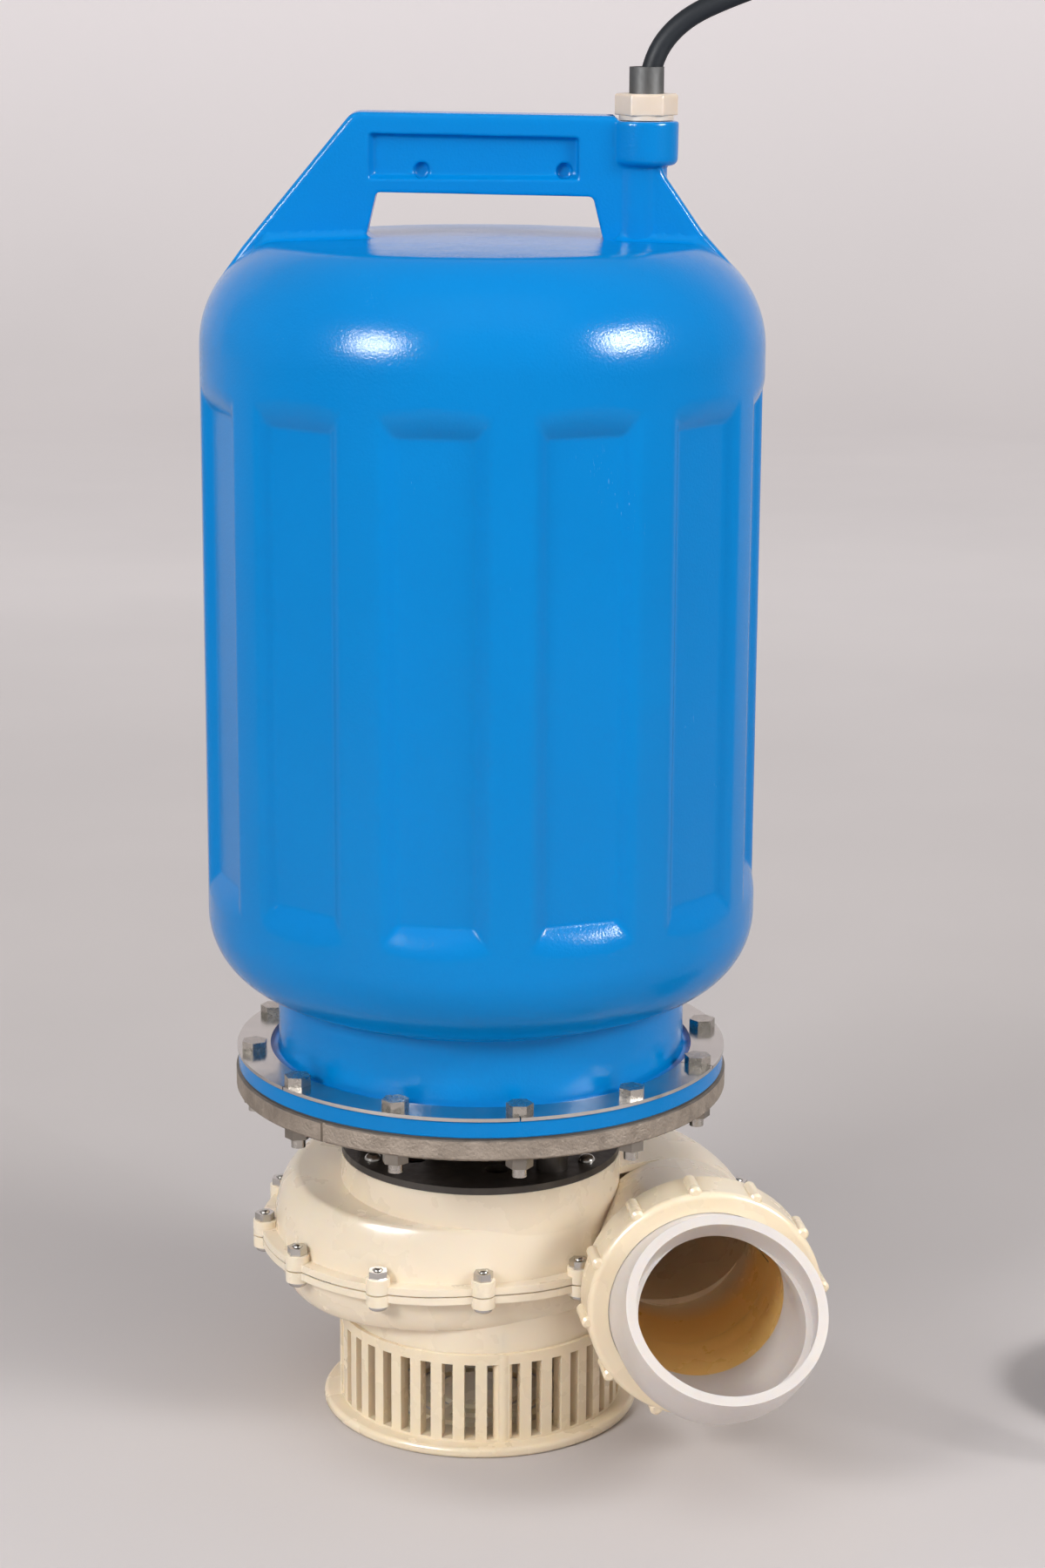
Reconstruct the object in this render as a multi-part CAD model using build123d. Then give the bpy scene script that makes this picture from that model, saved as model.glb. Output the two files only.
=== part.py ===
from build123d import *
from math import cos, degrees, pi, radians, sin, sqrt, tan
import os

# Submersible volute water pump with a tall float-shaped motor housing, standing on its strainer.
# Millimetres, +Z up. The origin is the centre of the strainer's foot on the floor, on the pump axis.
# Angles round the pump axis are counted from the front (-Y) towards the right (+X).

# Clearances
THREAD_GAP = 0.05          # between a screw and the thread it holds in
SEAT_GAP = 0.1             # between pieces of one body that slide together
RUN_GAP = 0.35             # between curved faces of pieces that turn past each other
FIT_GAP = 0.04             # radial clearance of a running fit

# Strainer
STRAINER_R = 82.5
STRAINER_WALL = 8.0
STRAINER_TOP = 59.0
FOOT_R = 91.7
FOOT_T = 6.0
SLOT_COUNT = 40
SLOT_W = 6.3
SLOT_BOTTOM = 7.5
SLOT_TOP = 53.0
SLOT_PHASE = 5.7
POST_COUNT = 4
POST_R = 5.5
GRATE_T = 3.0
GRATE_PITCH = 12.5
GRATE_FIRST = 27.0
GRATE_RINGS = 3
GRATE_SLOT = 6.0
GRATE_SPOKES = 6
GRATE_RIB = 8.0
STRAINER_SCREW_R = 2.0
STRAINER_SCREW_TOP = 70.0
STRAINER_HEAD_R = 3.8
STRAINER_HEAD_T = 3.0

# Volute casing
SPLIT_Z = 99.0
CASE_WALL = 5.0
NECK_R = 81.0
NECK_TOP = 154.5
SUCTION_R = 80.0
SUCTION_WALL = 8.0
SUCTION_FLOOR = 74.0
EYE_R = 37.0
BOSS_START_R = 90.0        # radius of the bolt circle of the casing at the front
BOSS_GROWTH = 0.455        # how fast that radius grows, per degree
BOSS_EASE = 0.00062        # how the growth slows, per square degree
BOSS_R = 6.8
BOSS_TO_WALL = 6.0
BOSS_TO_LIP = 2.0
BOSS_TOP = 108.0
BOSS_BOTTOM = 92.0
BOSS_PITCH = 58.6
BOSS_FIRST = -39.1
BOSS_LAST_MARGIN = 15.0
CASE_SCREW_R = 3.0
CASE_SCREW_TOP = 114.0
CASE_HEAD_R = 5.4
CASE_HEAD_T = 3.0
CASE_NUT_AF = 10.0
CASE_NUT_T = 4.5
LIP_T = 4.2
CASE_GASKET = 0.8
GASKET_INSET = 1.0
SCROLL_START = -50.0
SCROLL_END = 270.0
SCROLL_STEP = 32.0
DOME_RISE = 35.0           # height of the casing over the split at the front
DOME_GROWTH = 13.0         # how much higher it is at the outlet
DISH_DROP = 25.0           # depth of the casing under the split at the front
DISH_GROWTH = 20.0
DOME_SIDE = 6.0            # width of the rounded corner of the dome at the front
DISH_SIDE = 8.0
SIDE_GROWTH = 42.0
CORE_R = 45.0              # inner end of the scroll's section, hidden in the chamber
ROUND = 0.5523             # handle length of a Bezier curve that stands for a quarter circle
BACK_WALL_Z = 117.0
BACK_WALL_T = 5.0
SEAL_BORE_R = 24.0
PLATE_SCREWS = 3
PLATE_SCREW_PHASE = 60.0
PLATE_SCREW_PCR = 70.5
PLATE_SCREW_R = 2.5
PLATE_SCREW_L = 20.0
PLATE_SCREW_BOSS_R = 7.0

# Outlet, along its own level axis
OUTLET_X = 112.3
OUTLET_ANGLE = 8.0
PIPE_R0 = 48.5
PIPE_R1 = 55.0
PIPE_SPLIT_S = 46.0
PIPE_CONE = 60.0
PIPE_BOSS_S = 8.0
SPIGOT_R = 59.0
SPIGOT_BACK = 74.0
SPIGOT_FACE = 93.0
SPIGOT_BORE = 49.0
OUTLET_GASKET_T = 2.0

# Union nut and elbow
NUT_R = 66.5
NUT_LENGTH = 28.0
NUT_FACE = 106.2
NUT_LIP_T = 5.0
NUT_ROUND = 3.5
LUG_COUNT = 12
LUG_PHASE = 6.0
LUG_H = 3.6
LUG_W = 7.0
LUG_LENGTH = 22.0
ELBOW_R = 55.0
ELBOW_BORE = 46.0
ELBOW_SOCKET_R = 49.5
ELBOW_SOCKET_DEPTH = 18.0
COLLAR_R = 58.9
COLLAR_T = 6.0
ELBOW_ANGLE = 45.0
ELBOW_BEND = 58.0
ELBOW_TO_CORNER = 35.0     # from the nut's face to where the two axes cross
ELBOW_LEG = 31.0           # from there to the mouth

# Plate, lantern and cast flange
PLATE_R = 80.6
PLATE_T = 4.0
PLATE_HOLE_R = 7.0
PLATE_HOLE_PCR = 50.0
PLATE_HOLES = 6
PLATE_HOLE_PHASE = 11.5
LEG_COUNT = 3
LEG_R = 9.0
LEG_PCR = 62.0
LEG_PHASE = 41.5
HUB_R = 32.0
SEAT_HUB_R = 23.0
SEAT_R = 19.0
SEAT_T = 7.5
SEAT_BOTTOM = 142.5
SHAFT_ROOM = 1.5
LEG_SCREW_R = 3.0
LEG_SCREW_L = 22.0
FLANGE_BOTTOM = 196.2
FLANGE_R = 140.7
FLANGE_T = 11.1
FLANGE_GASKET_T = 1.5
NOTCH_ANGLE = -37.0
NOTCH_R = 1.6

# Clamp ring and its bolts
RING_T = 2.0
RING_IN = 121.0
RING_OUT = 140.0
RING_SEGMENTS = 6
RING_PHASE = 9.5
RING_GAP = 0.8
BOLT_COUNT = 12
BOLT_PCR = 130.7
BOLT_PHASE = 10.0
BOLT_R = 4.0
BOLT_HOLE_R = 4.5
BOLT_AF = 13.0
BOLT_HEAD = 5.3
BOLT_NUT = 6.5
BOLT_TIP = 184.0

# Motor housing
HOUSING_FLANGE_R = 139.3
HOUSING_FLANGE_T = 9.6
HOUSING_NECK_R = 116.0
HOUSING_R = 155.0
HOUSING_WALL = 5.0
LOWER_ARC = 45.0
LOWER_ARC_Z = 302.0
SHOULDER_ARC = 61.0
HOUSING_TOP = 680.5
FLUTE_COUNT = 12
FLUTE_PHASE = -8.5
FLUTE_W = 41.0
FLUTE_DEPTH = 7.0
FLUTE_BOTTOM = 329.0
FLUTE_TOP = 587.0
FLUTE_FLANK = 52.0         # slope of the flute's sides, from its floor's normal

# Handle and cable gland boss
HANDLE_T = 32.0
HANDLE_TOP = 745.0
HANDLE_LEFT = -68.0
HANDLE_RIGHT = 86.0
HANDLE_FOOT_LEFT = -134.0
HANDLE_FOOT_RIGHT = 139.0
HANDLE_FOOT_Z = 662.0
HANDLE_KNEE_X = 101.0
HANDLE_KNEE_Z = 715.0
HANDLE_ROUND = 3.0
HANDLE_STEP = 2.0
GRIP_BOTTOM = 702.0
GRIP_LEFT = -56.0
GRIP_RIGHT = 61.0
GRIP_SPLAY = 6.0
GRIP_DROP = 22.0           # height over which the opening widens by its splay
GRIP_REACH = 1.8           # how far its sides run on, into the housing
RECESS_LEFT = -60.0
RECESS_RIGHT = 54.0
RECESS_BOTTOM = 710.5
RECESS_TOP = 735.0
RECESS_DEPTH = 4.0
PIP_R = 4.7
PIP_X = (-30.0, 46.0)
PIP_Z = 716.0
GLAND_X = 88.0
GLAND_BOSS_R = 16.7
GLAND_BOSS_BOTTOM = 717.0
GLAND_BOSS_TOP = 741.0
GLAND_COLUMN_R = 14.0
GLAND_BORE_R = 10.0
GLAND_ROOM = 3.0

# Cable gland and cable
GLAND_FLANGE_R = 14.8
GLAND_FLANGE_T = 2.5
GLAND_NUT_AF = 30.0
GLAND_NUT_T = 11.5
BUSH_R = 9.4
BUSH_TOP = 769.0
BUSH_MOUTH_R = 8.0
CABLE_R = 5.5
CABLE_START = 743.0
GLAND_THREAD = 19.0
GLAND_STUB_R = 12.0
GLAND_STUB = 8.5
BUSH_MOUTH = 19.0
COIL_X = 420.0
COIL_Y = -5.0
COIL_R = 60.5
COIL_ROWS = 3
COIL_LAYERS = 3
TIE_ANGLE = 120.0
TIE_W = 8.0
TIE_T = 1.2
TIE_GAP = 0.15
PLUG_R = 16.0
PLUG_NECK_R = 8.5
PLUG_NECK = 22.0
PLUG_LENGTH = 36.0
PLUG_PIN_L = 17.0

# Motor inside the housing
MOTOR_FRAME_R = 78.0
MOTOR_FRAME_WALL = 4.0
MOTOR_FRAME_TOP = 440.0
MOTOR_FOOT_R = 92.0
MOTOR_FOOT_T = 6.0
STATOR_BORE_R = 40.5
STATOR_BOTTOM = 262.0
STATOR_LENGTH = 120.0
STATOR_SLOTS = 24
WINDING_H = 26.0
ROTOR_R = 40.0
SHAFT_R = 12.5
SHAFT_TIP_R = 8.0
SHAFT_BOTTOM = 76.0
SHAFT_TOP = 445.5
BEARING_OUT_R = 26.0
BEARING_T = 15.0
BEARING_BALLS = 9
BALL_R = 4.0
LOWER_BEARING_Z = 212.0
UPPER_BEARING_Z = 429.0
SHIELD_T = 8.0
CAPACITOR_R = 22.0
CAPACITOR_H = 92.0
CAPACITOR_X = 34.0
TERMINAL_X = 40.0
TERMINAL_H = 18.0
MOTOR_SCREWS = 4
MOTOR_SCREW_PHASE = 10.0
MOTOR_SCREW_PCR = 85.0
MOTOR_SCREW_R = 3.0
MOTOR_SCREW_L = 9.0
EARS = 4
EAR_PCR = 80.0
EAR_R = 8.0
EAR_H = 16.0
EAR_SCREW_R = 2.5
SLOT_IN = 44.0
SLOT_OUT = 62.0
STATOR_SLOT_W = 5.0
SHAFT_BODY_R = 15.0
SEAT_WALL = 8.0
BALL_PCR = 19.25
KEY_W = 5.0
KEY_H = 5.0

# Impeller
IMPELLER_R = 66.0
IMPELLER_BOTTOM = 84.0
IMPELLER_SHROUD_T = 4.0
IMPELLER_TOP = 111.0
IMPELLER_HUB_R = 18.0
BLADE_COUNT = 6
BLADE_T = 3.6
BLADE_CURVE = 46.0

# Derived sizes
PLATE_TOP = NECK_TOP + PLATE_T
FLANGE_TOP = FLANGE_BOTTOM + FLANGE_T
HOUSING_BOTTOM = FLANGE_TOP + FLANGE_GASKET_T
RING_BOTTOM = HOUSING_BOTTOM + HOUSING_FLANGE_T
RING_TOP = RING_BOTTOM + RING_T
POST_PCR = STRAINER_R - POST_R + 0.5
CASE_NUT_ROOM_R = CASE_NUT_AF / sqrt(3) + SEAT_GAP
CHAMBER_R = BOSS_START_R - BOSS_TO_WALL - CASE_WALL
OUTLET_DIR = Vector(sin(radians(OUTLET_ANGLE)), -cos(radians(OUTLET_ANGLE)), 0)

# Free cable, point by point from the gland over and down to the floor
CABLE_ROUTE = [
    (GLAND_X, 0, CABLE_START),
    (GLAND_X, 0, 768),
    (104, 1, 793),
    (137, 3, 808),
    (186, 6, 824),
    (238, 7, 832),
    (290, 4, 822),
    (335, -2, 788),
    (362, -6, 725),
    (372, -12, 640),
    (376, -24, 520),
    (371, -34, 390),
    (375, -50, 260),
    (371, -74, 160),
    (368, -98, 100),
    (372, -114, 59),
    (394, -117, 28),
    (424, -107, 9),
    (453, -85, CABLE_R),
    (474, -56, CABLE_R),
]
CABLE_END_ROUTE = [
    (487, -30, 26),
    (500, -2, 22),
    (505, 28, PLUG_R + 0.5),
    (505, 56, PLUG_R),
]


def cyl(radius, bottom, top, x=0, y=0):
    """Upright cylinder between two heights."""
    return Pos(x, y, bottom) * Cylinder(radius, top - bottom, align=(Align.CENTER, Align.CENTER, Align.MIN))


def tube(outer, inner, bottom, top, x=0, y=0):
    """Upright tube between two heights."""
    return cyl(outer, bottom, top, x, y) - cyl(inner, bottom - 1, top + 1, x, y)


def hexagon(across, bottom, top, x=0, y=0, turn=0):
    """Upright hexagon prism, measured across its flats."""
    outline = RegularPolygon(across / 2, 6, major_radius=False, rotation=turn)
    return Pos(x, y, bottom) * extrude(outline, top - bottom)


def around(angle, radius):
    """Point on a circle round the pump axis, at an angle from the front towards the right."""
    return radius * sin(radians(angle)), -radius * cos(radians(angle))


def spin(profile_edges):
    """Solid of revolution round the pump axis from closed edges in radius and height."""
    return revolve(Plane.XZ * make_face(profile_edges), Axis.Z)


def along_outlet(solid, s=0):
    """Places a solid made along +Z on the outlet's axis, s from the pump's cross plane."""
    origin = Vector(OUTLET_X, 0, SPLIT_Z) + OUTLET_DIR * s
    return Plane(origin=origin, x_dir=(0, 0, 1), z_dir=OUTLET_DIR) * solid


def outlet_cyl(radius, start, end):
    """Cylinder on the outlet's axis."""
    return along_outlet(cyl(radius, 0, end - start), start)


# Volute casing

def boss_radius(turn):
    """Radius of the casing's bolt line, at a turn from the front towards the left."""
    grown = max(turn, 0)
    return BOSS_START_R + BOSS_GROWTH * grown - BOSS_EASE * grown * grown


def scroll_point(turn, offset):
    """Point of the bolt line, moved outwards by an offset."""
    return around(-turn, boss_radius(turn) + offset)


def scroll_section(turn, inset, down):
    """Cross-section of one half of the scroll, at a turn from the front, moved in by a wall."""
    share = max(turn, 0) / SCROLL_END
    wall = boss_radius(turn) - BOSS_TO_WALL - inset
    rise = (DISH_DROP + DISH_GROWTH * share if down else DOME_RISE + DOME_GROWTH * share) - inset
    rise -= CASE_GASKET / 2
    side = (DISH_SIDE if down else DOME_SIDE) + SIDE_GROWTH * share ** 1.5 - inset / 2
    crown = wall - side
    drop = 1.0 + (rise - 4.0) * share ** 3
    sign = -1 if down else 1
    outer = Bezier(
        (wall, 0), (wall, sign * rise * ROUND), (crown + side * ROUND, sign * rise), (crown, sign * rise)
    )
    inner = Bezier(
        (crown, sign * rise),
        (crown - (crown - CORE_R) * ROUND, sign * rise),
        (CORE_R, sign * (rise - drop + drop * ROUND)),
        (CORE_R, sign * (rise - drop)),
    )
    close_up = Line((CORE_R, sign * (rise - drop)), (CORE_R, 0))
    base = Line((CORE_R, 0), (wall, 0))
    angle = radians(-turn)
    outward = (sin(angle), -cos(angle), 0)
    origin = (0, 0, joint_face(down))
    return Plane(origin=origin, x_dir=outward, z_dir=(-cos(angle), -sin(angle), 0)) * make_face(
        [outer, inner, close_up, base]
    )


def joint_face(down):
    """Height of a casing half's joint face."""
    return SPLIT_Z - CASE_GASKET / 2 if down else SPLIT_Z + CASE_GASKET / 2


def scroll(inset, down):
    """One half of the spiral body."""
    count = round((SCROLL_END - SCROLL_START) / SCROLL_STEP)
    turns = [SCROLL_START + (SCROLL_END - SCROLL_START) * i / count for i in range(count + 1)]
    return loft([scroll_section(turn, inset, down) for turn in turns])


def outlet_cone(start_radius, end_radius, start, end):
    """Cone on the outlet's axis."""
    cone = Cone(start_radius, end_radius, end - start, align=(Align.CENTER, Align.CENTER, Align.MIN))
    return along_outlet(cone, start)


def outlet_pipe():
    """Outer form of the whole outlet."""
    body = outlet_cone(PIPE_R0, PIPE_R1, 0, PIPE_CONE)
    body += outlet_cyl(PIPE_R1, PIPE_CONE, SPIGOT_BACK)
    return body + outlet_cyl(SPIGOT_R, SPIGOT_BACK, SPIGOT_FACE)


def outlet_bore():
    """Water space of the outlet."""
    bore = outlet_cone(PIPE_R0 - CASE_WALL, SPIGOT_BORE, -2, PIPE_CONE)
    return bore + outlet_cyl(SPIGOT_BORE, PIPE_CONE, SPIGOT_FACE + 1)


def block_behind(top, bottom, end):
    """Block between two heights that stops at an end of the outlet."""
    size = 4 * SCROLL_END
    block = Pos(0, 0, bottom) * Box(size, size, top - bottom, align=(Align.CENTER, Align.CENTER, Align.MIN))
    front = Box(size, size, size, align=(Align.CENTER, Align.CENTER, Align.MIN))
    return block - along_outlet(front, end)


def flange_outline(offset):
    """Outline of the bolted joint between the casing halves, offset from the bolt line."""
    steps = 20
    turns = [SCROLL_START + (SCROLL_END - SCROLL_START) * i / steps for i in range(steps + 1)]
    points = [scroll_point(turn, offset) for turn in turns]
    edge = Spline(*points)
    region = make_face([edge, Line(points[-1], (0, 0)), Line((0, 0), points[0])])
    region += Circle(BOSS_START_R + offset)
    half = (PIPE_R0 + PIPE_R1) / 2 + BOSS_TO_WALL + offset
    start = Vector(OUTLET_X, 0) + OUTLET_DIR * (PIPE_SPLIT_S / 2)
    strip = Pos(start.X, start.Y) * Rot(0, 0, OUTLET_ANGLE) * Rectangle(2 * half, PIPE_SPLIT_S)
    return region + strip


def boss_points():
    """Places of the casing bolts: along the scroll, and one beside the outlet."""
    points = []
    turn = BOSS_FIRST
    while turn < SCROLL_END - BOSS_LAST_MARGIN:
        points.append(scroll_point(turn, 0))
        guess = degrees(BOSS_PITCH / boss_radius(turn))
        turn += degrees(BOSS_PITCH / boss_radius(turn + guess / 2))
    side = PIPE_R0 + (PIPE_R1 - PIPE_R0) * PIPE_BOSS_S / PIPE_CONE + BOSS_TO_WALL
    point = Vector(OUTLET_X, 0) + OUTLET_DIR * PIPE_BOSS_S + Vector(-OUTLET_DIR.Y, OUTLET_DIR.X) * side
    points.append((point.X, point.Y))
    return points


def upper_volute():
    """Upper casing half with the whole threaded outlet and the screw bosses in its neck."""
    face = joint_face(False)
    body = scroll(0, False) + cyl(NECK_R, face, NECK_TOP)
    body += Pos(0, 0, face) * extrude(flange_outline(BOSS_TO_LIP), LIP_T)
    body += outlet_pipe() - block_behind(face, SPLIT_Z - 2 * PIPE_R1, PIPE_SPLIT_S)
    body -= cyl(NECK_R - CASE_WALL, BACK_WALL_Z + BACK_WALL_T, NECK_TOP + 1)
    body -= cyl(SEAL_BORE_R, face - 1, NECK_TOP + 1)
    body -= cyl(CHAMBER_R, face - 1, BACK_WALL_Z)
    body -= scroll(CASE_WALL, False) - cyl(NECK_R, BACK_WALL_Z, NECK_TOP)
    body -= outlet_bore()
    for x, y in boss_points():
        body += cyl(BOSS_R, face, BOSS_TOP, x, y)
    for x, y in boss_points():
        body -= cyl(CASE_SCREW_R + SEAT_GAP, face - 1, BOSS_TOP + 1, x, y)
        body -= cyl(CASE_NUT_ROOM_R, BOSS_TOP, BOSS_TOP + CASE_NUT_T + SEAT_GAP, x, y)
    for k in range(PLATE_SCREWS):
        x, y = around(PLATE_SCREW_PHASE + 360 / PLATE_SCREWS * k, PLATE_SCREW_PCR)
        boss = cyl(PLATE_SCREW_BOSS_R, BACK_WALL_Z + BACK_WALL_T - 1, NECK_TOP, x, y)
        body += boss & cyl(NECK_R - CASE_WALL / 2, BACK_WALL_Z, NECK_TOP)
        body -= cyl(PLATE_SCREW_R + THREAD_GAP, NECK_TOP - PLATE_SCREW_L, NECK_TOP + 1, x, y)
    return body


def lower_volute():
    """Lower casing half with the suction floor and the seat for the strainer."""
    face = joint_face(True)
    body = scroll(0, True) + cyl(SUCTION_R, STRAINER_TOP, face)
    lip = Pos(0, 0, face - LIP_T) * extrude(flange_outline(BOSS_TO_LIP), LIP_T)
    body += lip - outlet_cyl(PIPE_R1 + RUN_GAP, PIPE_SPLIT_S - SEAT_GAP, SPIGOT_BACK)
    body += outlet_pipe() & block_behind(face, SPLIT_Z - 2 * PIPE_R1, PIPE_SPLIT_S - SEAT_GAP)
    body -= cyl(POST_PCR + POST_R + SEAT_GAP, 0, STRAINER_TOP)
    body -= scroll(CASE_WALL, True) - cyl(SUCTION_R, STRAINER_TOP, SUCTION_FLOOR + CASE_WALL)
    body -= cyl(CHAMBER_R, SUCTION_FLOOR + CASE_WALL, face + 1)
    body -= outlet_bore()
    for x, y in boss_points():
        body += cyl(BOSS_R, BOSS_BOTTOM, face, x, y)
    body -= cyl(SUCTION_R - SUCTION_WALL, STRAINER_TOP - 1, SUCTION_FLOOR)
    body -= cyl(EYE_R, STRAINER_TOP, face)
    for x, y in boss_points():
        body -= cyl(CASE_SCREW_R + SEAT_GAP, BOSS_BOTTOM - 1, face + 1, x, y)
        body -= cyl(CASE_HEAD_R + RUN_GAP, BOSS_BOTTOM - CASE_HEAD_T - SEAT_GAP, BOSS_BOTTOM, x, y)
    for x, y in strainer_posts():
        body -= cyl(STRAINER_SCREW_R + THREAD_GAP, STRAINER_TOP - 1, STRAINER_SCREW_TOP + 1, x, y)
    return body


def volute_gasket():
    """Flat gasket between the casing halves."""
    bottom = joint_face(True)
    sheet = Pos(0, 0, bottom) * extrude(flange_outline(BOSS_TO_LIP - GASKET_INSET), CASE_GASKET)
    sheet = sheet & block_behind(SPLIT_Z + CASE_GASKET, SPLIT_Z - CASE_GASKET, PIPE_SPLIT_S - SEAT_GAP)
    hole = flange_outline(-BOSS_TO_WALL - CASE_WALL)
    sheet -= cyl(CHAMBER_R, bottom - 1, SPLIT_Z + 1)
    sheet -= Pos(0, 0, bottom - 1) * extrude(hole, CASE_GASKET + 2)
    sheet -= outlet_bore()
    for x, y in boss_points():
        sheet -= cyl(CASE_SCREW_R + SEAT_GAP, bottom - 1, SPLIT_Z + 1, x, y)
    return sheet.solids().sort_by(SortBy.VOLUME)[-1]


def round_end(radius, bottom, top, x, y):
    """Upright rod whose top is rounded."""
    rod = cyl(radius, bottom, top, x, y)
    return fillet(rod.edges().group_by(Axis.Z)[-1], radius * 0.7)


def volute_screws():
    """Screws that hold the casing halves, heads below."""
    screws = []
    for x, y in boss_points():
        head = cyl(CASE_HEAD_R, BOSS_BOTTOM - CASE_HEAD_T, BOSS_BOTTOM, x, y)
        head = fillet(head.edges().group_by(Axis.Z)[0], CASE_HEAD_T * 0.6)
        screws.append(head + round_end(CASE_SCREW_R, BOSS_BOTTOM, CASE_SCREW_TOP, x, y))
    return screws


def volute_nuts():
    """Nuts on top of the casing bosses."""
    nuts = []
    for index, (x, y) in enumerate(boss_points()):
        nut = hexagon(CASE_NUT_AF, BOSS_TOP, BOSS_TOP + CASE_NUT_T, x, y, 17 * index)
        nuts.append(nut - cyl(CASE_SCREW_R + THREAD_GAP, BOSS_TOP - 1, CASE_SCREW_TOP + 1, x, y))
    return nuts


# Strainer

def strainer_posts():
    """Places of the posts that carry the long strainer screws."""
    first = SLOT_PHASE + 180 / SLOT_COUNT
    return [around(first + 360 / POST_COUNT * k, POST_PCR) for k in range(POST_COUNT)]


def strainer_basket():
    """Slotted basket with a rounded foot, a slotted floor and posts for the screws."""
    foot = fillet(cyl(FOOT_R, 0, FOOT_T).edges(), FOOT_T * 0.4)
    body = foot + cyl(STRAINER_R, 0, STRAINER_TOP)
    body -= cyl(STRAINER_R - STRAINER_WALL, GRATE_T, STRAINER_TOP + 1)
    slots = []
    length = STRAINER_WALL + 6
    middle = STRAINER_R - STRAINER_WALL / 2
    for k in range(SLOT_COUNT):
        angle = SLOT_PHASE + 360 / SLOT_COUNT * k
        x, y = around(angle, middle)
        block = Box(length, SLOT_W, SLOT_TOP - SLOT_BOTTOM)
        slots.append(Pos(x, y, (SLOT_TOP + SLOT_BOTTOM) / 2) * Rot(0, 0, angle - 90) * block)
    body -= slots
    for x, y in strainer_posts():
        body += cyl(POST_R, FOOT_T / 2, STRAINER_TOP, x, y)
    body -= grate_slots()
    for x, y in strainer_posts():
        body -= cyl(STRAINER_SCREW_R + SEAT_GAP, -1, STRAINER_TOP + 1, x, y)
        body -= cyl(STRAINER_HEAD_R + SEAT_GAP, -1, STRAINER_HEAD_T + 1, x, y)
    return body


def grate_slots():
    """Ring slots of the strainer's floor, broken by spokes."""
    rings = []
    for k in range(GRATE_RINGS):
        radius = GRATE_FIRST + GRATE_PITCH * k
        rings.append(tube(radius + GRATE_SLOT / 2, radius - GRATE_SLOT / 2, -1, GRATE_T + 1))
    spokes = []
    for k in range(GRATE_SPOKES):
        spokes.append(Rot(0, 0, 360 / GRATE_SPOKES * k) * Box(2 * STRAINER_R, GRATE_RIB, 4 * GRATE_T))
    slots = rings[0] + rings[1:]
    return slots - spokes


def strainer_screws():
    """Long screws from the foot into the lower casing half."""
    screws = []
    for x, y in strainer_posts():
        head = cyl(STRAINER_HEAD_R, 1, 1 + STRAINER_HEAD_T, x, y)
        screws.append(head + cyl(STRAINER_SCREW_R, 1 + STRAINER_HEAD_T, STRAINER_SCREW_TOP, x, y))
    return screws


# Outlet fittings

def outlet_gasket():
    """Flat ring between the outlet and the elbow."""
    ring = tube(COLLAR_R - 1, SPIGOT_BORE, 0, OUTLET_GASKET_T)
    return along_outlet(ring, SPIGOT_FACE)


def union_nut():
    """Union nut with rounded lugs, turning on the outlet's thread."""
    body = cyl(NUT_R, 0, NUT_LENGTH)
    body = fillet(body.edges().group_by(Axis.Z)[-1], NUT_ROUND)
    body = chamfer(body.edges().group_by(Axis.Z)[0], 1.0)
    lugs = []
    for k in range(LUG_COUNT):
        angle = radians(LUG_PHASE + 360 / LUG_COUNT * k)
        rod = chamfer(cyl(LUG_W / 2, 0, LUG_LENGTH).edges(), LUG_W * 0.2)
        out = NUT_R + LUG_H - LUG_W / 2
        lugs.append(Pos(out * cos(angle), out * sin(angle), NUT_LENGTH - LUG_LENGTH - 1) * rod)
    body += lugs
    body -= cyl(SPIGOT_R + RUN_GAP, -1, NUT_LENGTH - NUT_LIP_T)
    body -= cyl(ELBOW_R + RUN_GAP, -1, NUT_LENGTH + 1)
    return along_outlet(body, NUT_FACE - NUT_LENGTH)


def bent_rod(radius, start, leg):
    """Rod along the elbow's centre line: straight, bent, then a leg towards the mouth."""
    reach = ELBOW_BEND * tan(radians(ELBOW_ANGLE / 2))
    bend_start = ELBOW_TO_CORNER - reach
    rod = cyl(radius, start, bend_start)
    hinge = Axis((ELBOW_BEND, 0, bend_start), (0, 1, 0))
    rod += revolve(Pos(0, 0, bend_start) * Circle(radius), hinge, ELBOW_ANGLE)
    return rod + mouth_plane() * cyl(radius, -(ELBOW_LEG - reach), leg)


def mouth_plane():
    """Plane of the elbow's mouth, its normal pointing out."""
    tilt = radians(ELBOW_ANGLE)
    origin = (ELBOW_LEG * sin(tilt), 0, ELBOW_TO_CORNER + ELBOW_LEG * cos(tilt))
    return Plane(origin=origin, x_dir=(cos(tilt), 0, -sin(tilt)), z_dir=(sin(tilt), 0, cos(tilt)))


def discharge_elbow():
    """Elbow with a collar held by the union nut and a socket at its mouth."""
    collar_front = -NUT_LIP_T - SEAT_GAP
    collar_back = collar_front - COLLAR_T
    body = bent_rod(ELBOW_R, collar_back, 0) + cyl(COLLAR_R, collar_back, collar_front)
    body -= bent_rod(ELBOW_BORE, collar_back - 1, 1)
    body -= mouth_plane() * cyl(ELBOW_SOCKET_R, -ELBOW_SOCKET_DEPTH, 1)
    return along_outlet(body, NUT_FACE)


# Seal plate, lantern and cast flange

def lantern_legs():
    """Places of the legs between the seal plate and the cast flange."""
    return [around(LEG_PHASE + 360 / LEG_COUNT * k, LEG_PCR) for k in range(LEG_COUNT)]


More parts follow.
